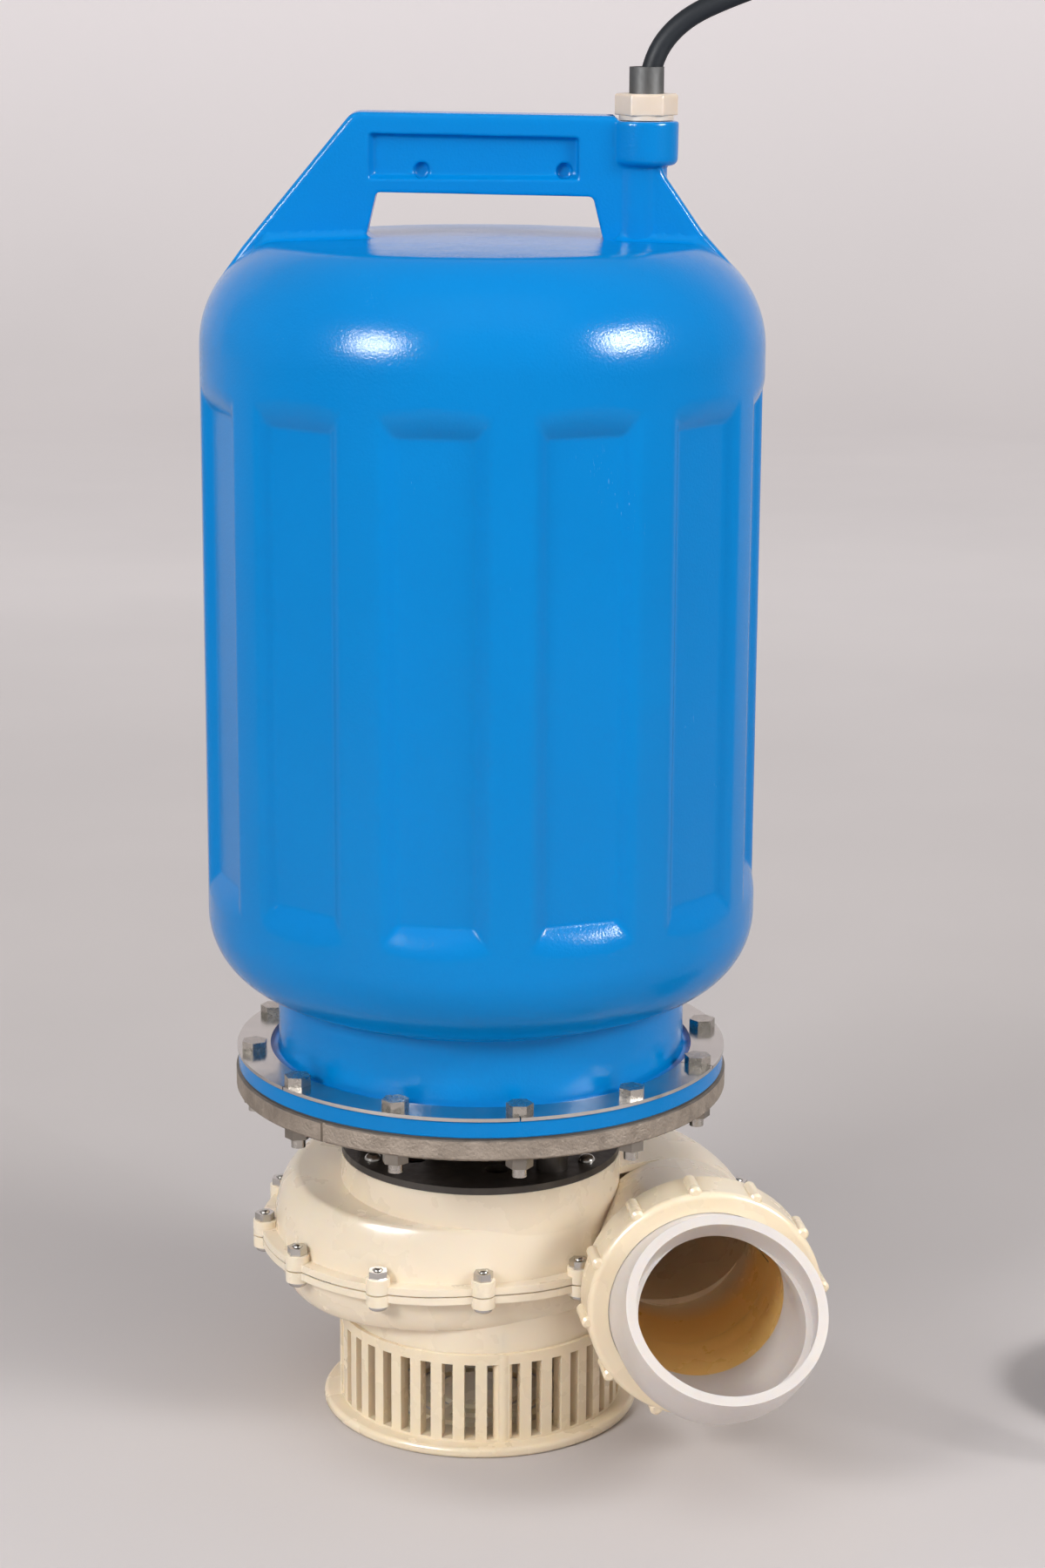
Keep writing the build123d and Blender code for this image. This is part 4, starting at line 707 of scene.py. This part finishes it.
def lathe(name: str, profile: list[tuple[float, float]], centre: tuple[float, float],
          columns: int = 96) -> bpy.types.Object:
    """Turns a profile round an upright axis into a closed piece.

    Args:
        name: Name of the piece.
        profile: Pairs of radius and height in millimetres, from the lowest to the highest.
        centre: Place of the axis in millimetres.
        columns: Points round the axis.

    Returns:
        The new object.
    """
    vertices = []
    for radius, z in profile:
        for column in range(columns):
            turn = math.tau * column / columns
            vertices.append(((centre[0] + radius * math.cos(turn)) * MM,
                             (centre[1] + radius * math.sin(turn)) * MM, z * MM))
    return mesh_piece(name, vertices, closed_faces(len(profile), columns))


def rounded(corners: Sequence[tuple[float, float, float]]) -> list[tuple[float, float]]:
    """Rounds the corners of an outline.

    Args:
        corners: Triples of x, z and the radius at that corner.

    Returns:
        Points of the outline.
    """
    points = []
    count = len(corners)
    for k in range(count):
        x, z, radius = corners[k]
        here = Vector((x, z))
        if radius <= 0.0:
            points.append((x, z))
            continue
        back = (Vector(corners[k - 1][:2]) - here).normalized()
        on = (Vector(corners[(k + 1) % count][:2]) - here).normalized()
        half = back.angle(on) / 2.0
        middle = here + (back + on).normalized() * (radius / math.sin(half))
        start = here + back * (radius / math.tan(half)) - middle
        end = here + on * (radius / math.tan(half)) - middle
        for step in range(ARC_POINTS):
            share = step / (ARC_POINTS - 1)
            way = (start * (1.0 - share) + end * share).normalized() * radius
            points.append((middle.x + way.x, middle.y + way.y))
    return points


def slab(name: str, outline: list[tuple[float, float]], half: float, edge: float) -> bpy.types.Object:
    """Makes an upright plate across the front view, with rounded edges.

    Args:
        name: Name of the piece.
        outline: Its outline, as x and z in millimetres.
        half: Half of the plate's thickness.
        edge: Radius of its edges, smaller than that of the outline's rounded corners.

    Returns:
        The new object.
    """
    data = bpy.data.curves.new(name, "CURVE")
    data.dimensions = "2D"
    data.fill_mode = "BOTH"
    data.extrude = (half - edge) * MM
    data.bevel_depth = edge * MM
    data.bevel_resolution = 2
    data.offset = -edge * MM
    spline = data.splines.new("POLY")
    spline.points.add(len(outline) - 1)
    for target, (x, z) in zip(spline.points, outline):
        target.co = (x * MM, z * MM, 0.0, 1.0)
    spline.use_cyclic_u = True
    shape = add_object(name + "_shape", data)
    bpy.context.view_layer.update()
    mesh = bpy.data.meshes.new_from_object(shape.evaluated_get(bpy.context.evaluated_depsgraph_get()))
    bpy.data.objects.remove(shape)
    mesh.transform(Matrix.Rotation(math.radians(90.0), 4, "X"))
    face_out(mesh, 1e-6)
    return add_object(name, mesh)


def combine(piece: bpy.types.Object, other: bpy.types.Object, operation: str) -> None:
    """Unites two pieces or cuts one out of the other, and removes the other.

    Args:
        piece: The piece that is kept.
        other: The piece that is added or cut out.
        operation: UNION or DIFFERENCE.
    """
    step = piece.modifiers.new("Combine", "BOOLEAN")
    step.operation = operation
    step.object = other
    step.solver = "EXACT"
    apply_steps(piece)
    bpy.data.objects.remove(other)


def apply_steps(piece: bpy.types.Object) -> None:
    """Turns the result of a piece's modifiers into its mesh.

    Args:
        piece: The piece.
    """
    bpy.context.view_layer.update()
    mesh = bpy.data.meshes.new_from_object(piece.evaluated_get(bpy.context.evaluated_depsgraph_get()))
    piece.modifiers.clear()
    piece.data = mesh


def soften(piece: bpy.types.Object, voxel: float, rounds: int) -> None:
    """Rounds all edges of a closed piece a little, as a mould leaves them.

    Args:
        piece: The piece.
        voxel: Fineness in millimetres, about the radius that the edges get.
        rounds: How often the surface is smoothed.
    """
    grid = piece.modifiers.new("Grid", "REMESH")
    grid.mode = "VOXEL"
    grid.voxel_size = voxel * MM
    smooth = piece.modifiers.new("Smooth", "SMOOTH")
    smooth.factor = 0.5
    smooth.iterations = rounds
    apply_steps(piece)
    piece.data.polygons.foreach_set("use_smooth", [True] * len(piece.data.polygons))


def soft_copy(node: str, name: str, voxel: float, rounds: int) -> bpy.types.Object:
    """Copies a node's solid into a new piece with softer edges.

    Args:
        node: The node.
        name: Name of the new piece.
        voxel: Fineness in millimetres.
        rounds: How often the surface is smoothed.

    Returns:
        The new object.
    """
    piece = add_object(name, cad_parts[node].data.copy())
    soften(piece, voxel, rounds)
    return piece


def shade(piece: bpy.types.Object, angle: float) -> None:
    """Shades a piece smooth, apart from edges sharper than an angle in degrees."""
    mesh = piece.data
    mesh.polygons.foreach_set("use_smooth", [True] * len(mesh.polygons))
    mesh.set_sharp_from_angle(angle=math.radians(angle))


@dataclass
class SubAssembly:
    """A group of pieces that come off the pump together."""

    def nodes(self) -> dict[Finish, tuple[str, ...]]:
        """Names the frame's nodes that keep their own solid, by finish."""
        return {}

    def build(self) -> list[bpy.types.Object]:
        """Makes the pieces that replace nodes."""
        return []

    def assemble(self) -> None:
        """Dresses the nodes, builds the pieces and reports both."""
        for finish, names in self.nodes().items():
            for name in names:
                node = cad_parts[name]
                node.data.materials.clear()
                node.data.materials.append(finish.material())
                LOG.info("%s: node %s in %s", type(self).__name__, name, finish.name)
        for piece in self.build():
            LOG.info("%s: piece %s", type(self).__name__, piece.name)

    def finish_piece(self, piece: bpy.types.Object, finish: Finish, body: Body,
                     *replaced: str) -> bpy.types.Object:
        """Dresses a new piece, lets it ride and hides the nodes that it stands for.

        Args:
            piece: The new object.
            finish: Its finish.
            body: The body that it rides on.
            replaced: Names of the nodes that it stands for.

        Returns:
            The same object.
        """
        piece.data.materials.clear()
        piece.data.materials.append(finish.material())
        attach(piece, body.value)
        if replaced:
            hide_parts(*replaced)
        return piece


@dataclass
class PowerCord(SubAssembly):
    """Rubber cable from the gland over the right side to its coil, tie and plug. Metres."""

    radius: float = 0.0055
    pitch: float = 0.011
    coil_x: float = 0.420
    coil_y: float = -0.005
    coil_radius: float = 0.0605
    turn_points: int = 18
    shift_turn: float = 30.0        # degrees over which a turn moves beside or onto the next
    length: float = 4.4
    nut_grain: float = 0.5           # fineness of the gland nut's mesh, in millimetres
    nut_rounds: int = 14             # how often its surface is smoothed

    # Points of the route before and after the coil in millimetres, and the coil's cells: row, layer.
    ROUTE: ClassVar[list[Point]] = [
        (88, 0, 743), (88, 0, 768), (104, 1, 793), (137, 3, 808), (186, 6, 824), (238, 7, 832),
        (290, 4, 822), (335, -2, 788), (362, -6, 725), (372, -12, 640), (376, -24, 520),
        (371, -34, 390), (375, -50, 260), (371, -74, 160), (368, -98, 100), (372, -114, 59),
        (394, -117, 28), (424, -107, 9), (453, -85, 5.5),
    ]
    TAIL: ClassVar[list[Point]] = [(487, -30, 26), (500, -2, 22), (505, 28, 16.5), (505, 56, 16)]
    CELLS: ClassVar[list[tuple[int, int]]] = [
        (1, 0), (1, 1), (0, 1), (0, 0), (-1, 0), (-1, 1), (-1, 2), (0, 2), (1, 2),
    ]

    def nodes(self) -> dict[Finish, tuple[str, ...]]:
        """Names the nodes of the cord and its gland that keep their solid."""
        return {
            RUBBER: ("cable_bush", "coil_tie", "plug_body"),
            PINS: ("plug_pins",),
            GLAND: ("gland_body",),
            SHEATH: ("inner_lead",),
        }

    def cell(self, turned: float) -> tuple[float, float]:
        """Gives the place of the cord in the coil's section.

        Args:
            turned: Degrees turned since the cord joined the coil.

        Returns:
            Row from the middle, outwards, and layer from the floor.
        """
        each = 360.0 - self.shift_turn
        passed = int(turned // each)
        row, layer = self.CELLS[min(passed, len(self.CELLS) - 1)]
        left = turned - passed * each
        if passed + 1 < len(self.CELLS) and left > each - self.shift_turn:
            share = (left - each + self.shift_turn) / self.shift_turn
            share = share * share * (3.0 - 2.0 * share)
            following = self.CELLS[passed + 1]
            row += (following[0] - row) * share
            layer += (following[1] - layer) * share
        return row, layer

    def coil(self) -> list[Point]:
        """Works out the points of the coil's turns.

        Returns:
            Points in metres.
        """
        first, last = -43.0, -38.0   # degrees at which the cord joins and leaves the coil
        each = 360.0 - self.shift_turn
        total = each * (len(self.CELLS) - 1) + 180.0
        total += (last - first - total) % 360.0
        count = round(total / 360.0 * self.turn_points)
        points = []
        for k in range(count + 1):
            turned = total * k / count
            row, layer = self.cell(turned)
            angle = math.radians(first + turned)
            reach = self.coil_radius + row * self.pitch
            points.append((self.coil_x + reach * math.cos(angle), self.coil_y + reach * math.sin(angle),
                           self.radius + layer * self.pitch))
        return points

    def build(self) -> list[bpy.types.Object]:
        """Makes the cable as one smooth curve, with the coil's turns in it, and the gland's soft nut.

        Returns:
            The cable and the nut.
        """
        points = [tuple(MM * part for part in point) for point in self.ROUTE]
        points += self.coil()
        points += [tuple(MM * part for part in point) for point in self.TAIL]
        data = bpy.data.curves.new("Cable", "CURVE")
        data.dimensions = "3D"
        data.bevel_depth = self.radius
        data.bevel_resolution = 5
        data.use_fill_caps = True
        spline = data.splines.new("NURBS")
        spline.points.add(len(points) - 1)
        for target, point in zip(spline.points, points):
            target.co = (*point, 1.0)
        spline.order_u = 3
        spline.use_endpoint_u = True
        spline.resolution_u = 8
        cable = add_object("Cable", data)
        self.finish_piece(cable, SHEATH, Body.PUMP, "power_cable", "cable_coil", "cable_end")
        nut = soft_copy("gland_nut", "GlandNut", self.nut_grain, self.nut_rounds)
        return [cable, self.finish_piece(nut, GLAND, Body.PUMP, "gland_nut")]


@dataclass
class MotorHousing(SubAssembly):
    """Hollow blue housing with its flutes, handle and gland boss. Sizes in millimetres.

    It stands for the frame's solid of the same name, and its top lies about 5 mm under the solid's.
    """

    columns: int = 576
    row_step: float = 2.6            # between the barrel's rows of points
    fine_step: float = 1.0           # the same near the flutes' ends
    fine_shift: float = 6.0          # from a flute's end to the middle of its close rows
    fine_reach: float = 13.0         # half of the height of the close rows
    row_gap: float = 2.0             # the barrel's rows end this far under the shoulder
    disc_step: float = 1.8           # between the top's rings
    disc_hole: float = 4.0           # reach within which one face closes the top
    shoulder_rows: int = 72
    flange_r: float = 139.3
    neck_r: float = 116.0
    neck_start: float = 218.4
    neck_wall: float = 6.0
    neck_fillet: float = 2.5
    neck_bend: float = 0.7           # how far the fillet's middle stands off its corner
    lower_edge: float = 0.6          # bevel under the flange
    upper_edge: float = 0.8          # bevel on top of it
    barrel_r: float = 155.0
    lower_arc: float = 45.0
    lower_arc_z: float = 302.0
    shoulder_arc: float = 61.0
    top: float = 680.5
    disc_r: float = 128.0            # reach of the nearly flat top
    disc_z: float = 675.4
    disc_edge: float = 1.8           # softness where the top meets the shoulder
    crown: float = 3.2               # how far the top rises in its middle
    flute_count: int = 12
    flute_phase: float = -8.5
    flute_width: float = 41.0
    flute_depth: float = 7.0
    flute_bottom: float = 329.0
    flute_top: float = 587.0
    flute_flank: float = 52.0        # slope of the flutes' sides, from their floor's normal
    flute_end: float = 57.0          # slope of their ends
    crease: float = 0.8              # softness where a side meets the floor
    edge_round: float = 5.2          # softness where a side meets the barrel
    left_leg: tuple[float, float] = (-139.0, -64.0)
    right_leg: tuple[float, float] = (74.0, 142.0)
    leg_fillet: float = 5.5
    fillet_end: float = 134.0        # the fillet has faded out at this reach across the front
    fillet_fade: float = 16.0
    plate: float = 28.0
    plate_round: float = 3.2
    handle_foot: float = 640.0       # the handle starts here, inside the barrel
    outline: tuple[tuple[float, float, float], ...] = (
        (-124.0, handle_foot, 0.0), (-141.5, 657.5, 0.0), (-130.5, 672.6, 20.0), (-70.3, 745.0, 9.0),
        (92.0, 743.2, 4.0), (97.5, 713.2, 12.0), (119.1, 682.2, 40.0), (141.5, 657.4, 0.0),
        (124.0, handle_foot, 0.0))
    window: tuple[tuple[float, float, float], ...] = (
        (-57.4, 702.4, 1.6), (59.5, 700.6, 3.0), (71.5, 652.0, 0.0), (-69.5, 652.0, 0.0))
    recess: float = 4.5
    recess_ends: tuple[float, float] = (-61.8, 51.6)
    recess_tops: tuple[float, float] = (733.8, 732.0)
    recess_bottom: float = 709.2
    recess_round: float = 1.2
    recess_draft: tuple[float, float, float, float] = (3.2, 1.2, 0.8, 2.4)
    dimples: tuple[float, float] = (-33.1, 43.9)
    dimple_r: float = 4.3
    dimple_z: float = 713.8
    dimple_floor: float = 6.0        # from the plate's middle
    gland_x: float = 87.0
    boss_y: float = -4.0
    boss_r: float = 18.4
    boss_bottom: float = 717.0
    boss_top: float = 740.6
    boss_round: float = 4.0
    spot_room: tuple[float, float] = (1.43, 0.03)  # past the boss and above it, cut from the plate
    column_x: float = 83.5
    column_r: float = 16.3
    grain: float = 0.8               # fineness of the handle's mesh
    smoothing: int = 3               # how often its surface is smoothed
    sharp: float = 38.0              # edges of more degrees than this are shaded sharp

    def profile(self) -> list[tuple[float, float]]:
        """Works out the outer profile from the flange's underside to the axis.

        Returns:
            Pairs of radius and height, close enough together for the flutes' ends.
        """
        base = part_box("motor_housing")[0].z / MM
        foot = self.neck_start + self.neck_fillet
        points = [(self.neck_r - self.neck_wall, base), (self.flange_r - self.lower_edge, base),
                  (self.flange_r, base + self.lower_edge),
                  (self.flange_r, self.neck_start - self.upper_edge),
                  (self.flange_r - self.upper_edge, self.neck_start),
                  (self.neck_r + self.neck_fillet, self.neck_start),
                  (self.neck_r + self.neck_bend, self.neck_start + self.neck_bend), (self.neck_r, foot)]
        middle = self.barrel_r - self.lower_arc
        start = -math.degrees(math.acos((self.neck_r - middle) / self.lower_arc))
        meet = self.lower_arc_z + self.lower_arc * math.sin(math.radians(start))
        span = meet - 1.5 - self.neck_start - self.neck_fillet
        for k in range(1, 16):
            points.append((self.neck_r, foot + span * k / 15))
        first = start + 3.0          # leaves room for a soft corner between the neck and the arc
        for k in range(27):
            turn = math.radians(first - first * k / 26)
            points.append((middle + self.lower_arc * math.cos(turn),
                           self.lower_arc_z + self.lower_arc * math.sin(turn)))
        shoulder_z = self.top - self.shoulder_arc
        z = self.lower_arc_z
        while z < shoulder_z - self.row_gap:
            ends = (z - self.flute_bottom + self.fine_shift, z - self.flute_top - self.fine_shift)
            near_end = min(abs(end) for end in ends) < self.fine_reach
            z += self.fine_step if near_end else self.row_step
            points.append((self.barrel_r, min(z, shoulder_z)))
        flat = self.barrel_r - self.shoulder_arc
        for k in range(1, self.shoulder_rows + 1):
            turn = math.radians(90.0 * k / self.shoulder_rows)
            points.append(self.capped(flat + self.shoulder_arc * math.cos(turn),
                                      shoulder_z + self.shoulder_arc * math.sin(turn)))
        radius = flat
        while radius > self.disc_hole:
            radius -= self.disc_step
            points.append(self.capped(radius, self.top))
        return points

    def capped(self, radius: float, z: float) -> tuple[float, float]:
        """Lowers a point of the shoulder to the nearly flat top where it stands above it."""
        top = self.disc_z + self.crown * (1.0 - (radius / self.disc_r) ** 2)
        return radius, top - soft_above(top - z, self.disc_edge)

    def fluted(self, turn: float, radius: float, z: float) -> float:
        """Cuts the flutes into the barrel's radius, with soft edges.

        Args:
            turn: Angle from the front in degrees.
            radius: Radius of the plain barrel.
            z: Height.

        Returns:
            The radius at that place.
        """
        pitch = 360.0 / self.flute_count
        off = math.radians((turn - self.flute_phase + pitch / 2) % pitch - pitch / 2)
        side_run = math.tan(math.radians(self.flute_flank))
        end_run = math.tan(math.radians(self.flute_end))
        middle = (self.flute_top + self.flute_bottom) / 2
        half_tall = (self.flute_top - self.flute_bottom) / 2
        end = soft_above(abs(z - middle) - half_tall, self.crease) / end_run
        if end > 2.0 * self.flute_depth:
            return radius
        floor = self.barrel_r - self.flute_depth
        cut = floor
        for _ in range(5):           # the cut settles, because its side depends on its own reach
            side = soft_above(abs(cut * math.sin(off)) - self.flute_width / 2, self.crease) / side_run
            cut = (floor + side + soft_above(end - side, self.crease)) / math.cos(off)
        return radius - soft_above(radius - cut, self.edge_round)

    def legs(self, x: float, y: float) -> float:
        """Gives the distance in plan from the handle's nearer leg.

        Args:
            x: Place across the front.
            y: Place in depth.

        Returns:
            The distance, 0 inside the leg.
        """
        across = max(abs(y) - self.plate / 2, 0.0)
        return min(math.hypot(max(low - x, x - high, 0.0), across)
                   for low, high in (self.left_leg, self.right_leg))

    def shell(self) -> bpy.types.Object:
        """Makes the barrel as a dense grid, raised in a fillet round the handle's legs.

        Returns:
            The closed barrel.
        """
        profile = self.profile()
        rows = len(profile)
        vertices = []
        for index in range(rows):
            radius, z = profile[index]
            before, after = profile[max(index - 1, 0)], profile[min(index + 1, rows - 1)]
            along = Vector((after[0] - before[0], after[1] - before[1])).normalized()
            for column in range(self.columns):
                turn = 360.0 * column / self.columns
                reach = self.fluted(turn, radius, z)
                angle = math.radians(turn)
                x, y, up = reach * math.sin(angle), -reach * math.cos(angle), z
                if z > self.top - self.shoulder_arc:
                    gap = self.leg_fillet - self.legs(x, y)
                    if gap > 0.0:
                        share = (self.fillet_end - abs(x)) / self.fillet_fade
                        gap = min(gap, self.leg_fillet) * min(max(share, 0.0), 1.0)
                        rise = self.leg_fillet - math.sqrt(self.leg_fillet ** 2 - gap ** 2)
                        x += rise * along.y * math.sin(angle)
                        y -= rise * along.y * math.cos(angle)
                        up -= rise * along.x
                vertices.append((x * MM, y * MM, up * MM))
        return mesh_piece("HousingShell", vertices, closed_faces(rows, self.columns))

    def pocket(self, side: int) -> bpy.types.Object:
        """Makes the cutter of one recess, with sloping walls.

        Args:
            side: -1 for the front and 1 for the back.

        Returns:
            The closed cutter.
        """
        left, top, right, bottom = self.recess_draft
        face = self.plate / 2
        over = 0.3                   # share of its depth that the cutter stands out of the plate
        rims = []
        for share, depth in ((-over, face + over * self.recess), (0.0, face), (1.0, face - self.recess)):
            start, end = self.recess_ends[0] + left * share, self.recess_ends[1] - right * share
            low = self.recess_bottom + bottom * share
            corners = [(start, self.recess_tops[0] - top * share), (end, self.recess_tops[1] - top * share),
                       (end, low), (start, low)]
            rim = rounded([(x, z, self.recess_round) for x, z in corners])
            rims.append([(x * MM, side * depth * MM, z * MM) for x, z in rim])
        count = len(rims[0])
        vertices = [point for rim in rims for point in rim]
        faces = grid_faces(len(rims), count)
        faces += [tuple(range(count)), tuple(range(2 * count, 3 * count))]
        return mesh_piece("Pocket", vertices, faces)

    def handle(self) -> bpy.types.Object:
        """Makes the handle: plate, finger opening, recesses with dimples, column and gland boss.

        Returns:
            The closed handle, whose feet reach into the barrel.
        """
        piece = slab("HousingHandle", rounded(self.outline), self.plate / 2, self.plate_round)
        combine(piece, slab("Window", rounded(self.window), self.plate, 0.1), "DIFFERENCE")
        spot_r, spot_z = self.boss_r + self.spot_room[0], self.boss_top + self.spot_room[1]
        room = [(spot_r, spot_z), (spot_r, self.boss_top + 20.0)]
        combine(piece, lathe("Spot", room, (self.gland_x, 0.01)), "DIFFERENCE")
        bore = [(self.dimple_r, self.dimple_floor), (self.dimple_r, 12.0), (1.0, 13.0)]
        for side in (-1, 1):
            combine(piece, self.pocket(side), "DIFFERENCE")
            for x in self.dimples:
                dimple = lathe("Dimple", bore, (0.0, 0.0), 32)
                dimple.data.transform(Matrix.Translation((x * MM, 0.0, self.dimple_z * MM))
                                      @ Matrix.Rotation(math.radians(-90.0 * side), 4, "X"))
                combine(piece, dimple, "DIFFERENCE")
        column = [(self.column_r, self.handle_foot), (self.column_r, self.boss_bottom + self.boss_round)]
        combine(piece, lathe("Column", column, (self.column_x, 0.0)), "UNION")
        boss = []
        for step in range(7):
            turn = math.radians(15.0 * step)
            boss.append((self.boss_r - self.boss_round * (1.0 - math.sin(turn)),
                         self.boss_bottom + self.boss_round * (1.0 - math.cos(turn))))
        boss += [(self.boss_r + 0.2, self.boss_top - 0.8), (self.boss_r - 0.4, self.boss_top)]
        combine(piece, lathe("Boss", boss, (self.gland_x, self.boss_y)), "UNION")
        soften(piece, self.grain, self.smoothing)
        return piece

    def build(self) -> list[bpy.types.Object]:
        """Unites the barrel and the handle into one moulding."""
        piece = self.shell()
        combine(piece, self.handle(), "UNION")
        shade(piece, self.sharp)
        return [self.finish_piece(piece, BLUE, Body.PUMP, "motor_housing")]


@dataclass
class ClampJoint(SubAssembly):
    """Ring, bolts and cast flange that close the housing."""

    def nodes(self) -> dict[Finish, tuple[str, ...]]:
        """Names the nodes of the clamped joint."""
        return {
            STAINLESS: ("clamp_ring",),
            BOLTS: ("flange_bolts",),
            THREADS: ("flange_nuts",),
            RUBBER: ("flange_gasket",),
            CASTING: ("motor_flange",),
            STEEL: ("bracket_screws",),
        }


@dataclass
class VoluteCasing(SubAssembly):
    """Spiral casing, its screws and the plate that closes it."""

    def nodes(self) -> dict[Finish, tuple[str, ...]]:
        """Names the nodes of the casing."""
        return {
            CASING: ("upper_volute", "lower_volute"),
            RUBBER: ("volute_gasket",),
            STAINLESS: ("volute_screws", "volute_nuts", "plate_screws"),
            IRON: ("seal_plate",),
        }


@dataclass
class Outlet(SubAssembly):
    """Union nut and angled elbow."""

    def nodes(self) -> dict[Finish, tuple[str, ...]]:
        """Names the nodes of the outlet."""
        return {CREAM: ("union_nut",), WHITE: ("discharge_elbow",), RUBBER: ("outlet_gasket",)}


@dataclass
class Strainer(SubAssembly):
    """Slotted foot that the pump stands on."""

    def nodes(self) -> dict[Finish, tuple[str, ...]]:
        """Names the nodes of the strainer."""
        return {CREAM: ("strainer_basket",), STAINLESS: ("strainer_screws",)}


@dataclass
class Motor(SubAssembly):
    """Motor, bearings, seal and impeller inside the housing and the casing."""

    def nodes(self) -> dict[Finish, tuple[str, ...]]:
        """Names the nodes of the motor and what it drives."""
        bearings = tuple(f"{place}_bearing_{part}" for place in ("lower", "upper")
                         for part in ("outer", "inner", "balls"))
        return {
            STEEL: ("motor_frame", "motor_screws", "shield_screws", "shaft", "shaft_key",
                    "impeller_nut", "capacitor_clip", *bearings),
            CASTING: ("end_shield",),
            LAMINATION: ("stator_core", "rotor_core"),
            COPPER: ("stator_windings",),
            CERAMIC: ("seal_seat",),
            RUBBER: ("seal_head",),
            IMPELLER: ("impeller",),
            CAN: ("capacitor",),
            TERMINAL: ("terminal_block",),
        }


def main() -> None:
    """Builds the studio and every sub-assembly in order."""
    logging.basicConfig(level=logging.INFO, format="%(message)s")
    Studio().build()
    for part in (PowerCord(), MotorHousing(), ClampJoint(), VoluteCasing(), Outlet(), Strainer(), Motor()):
        part.assemble()


if __name__ == "__main__":
    main()
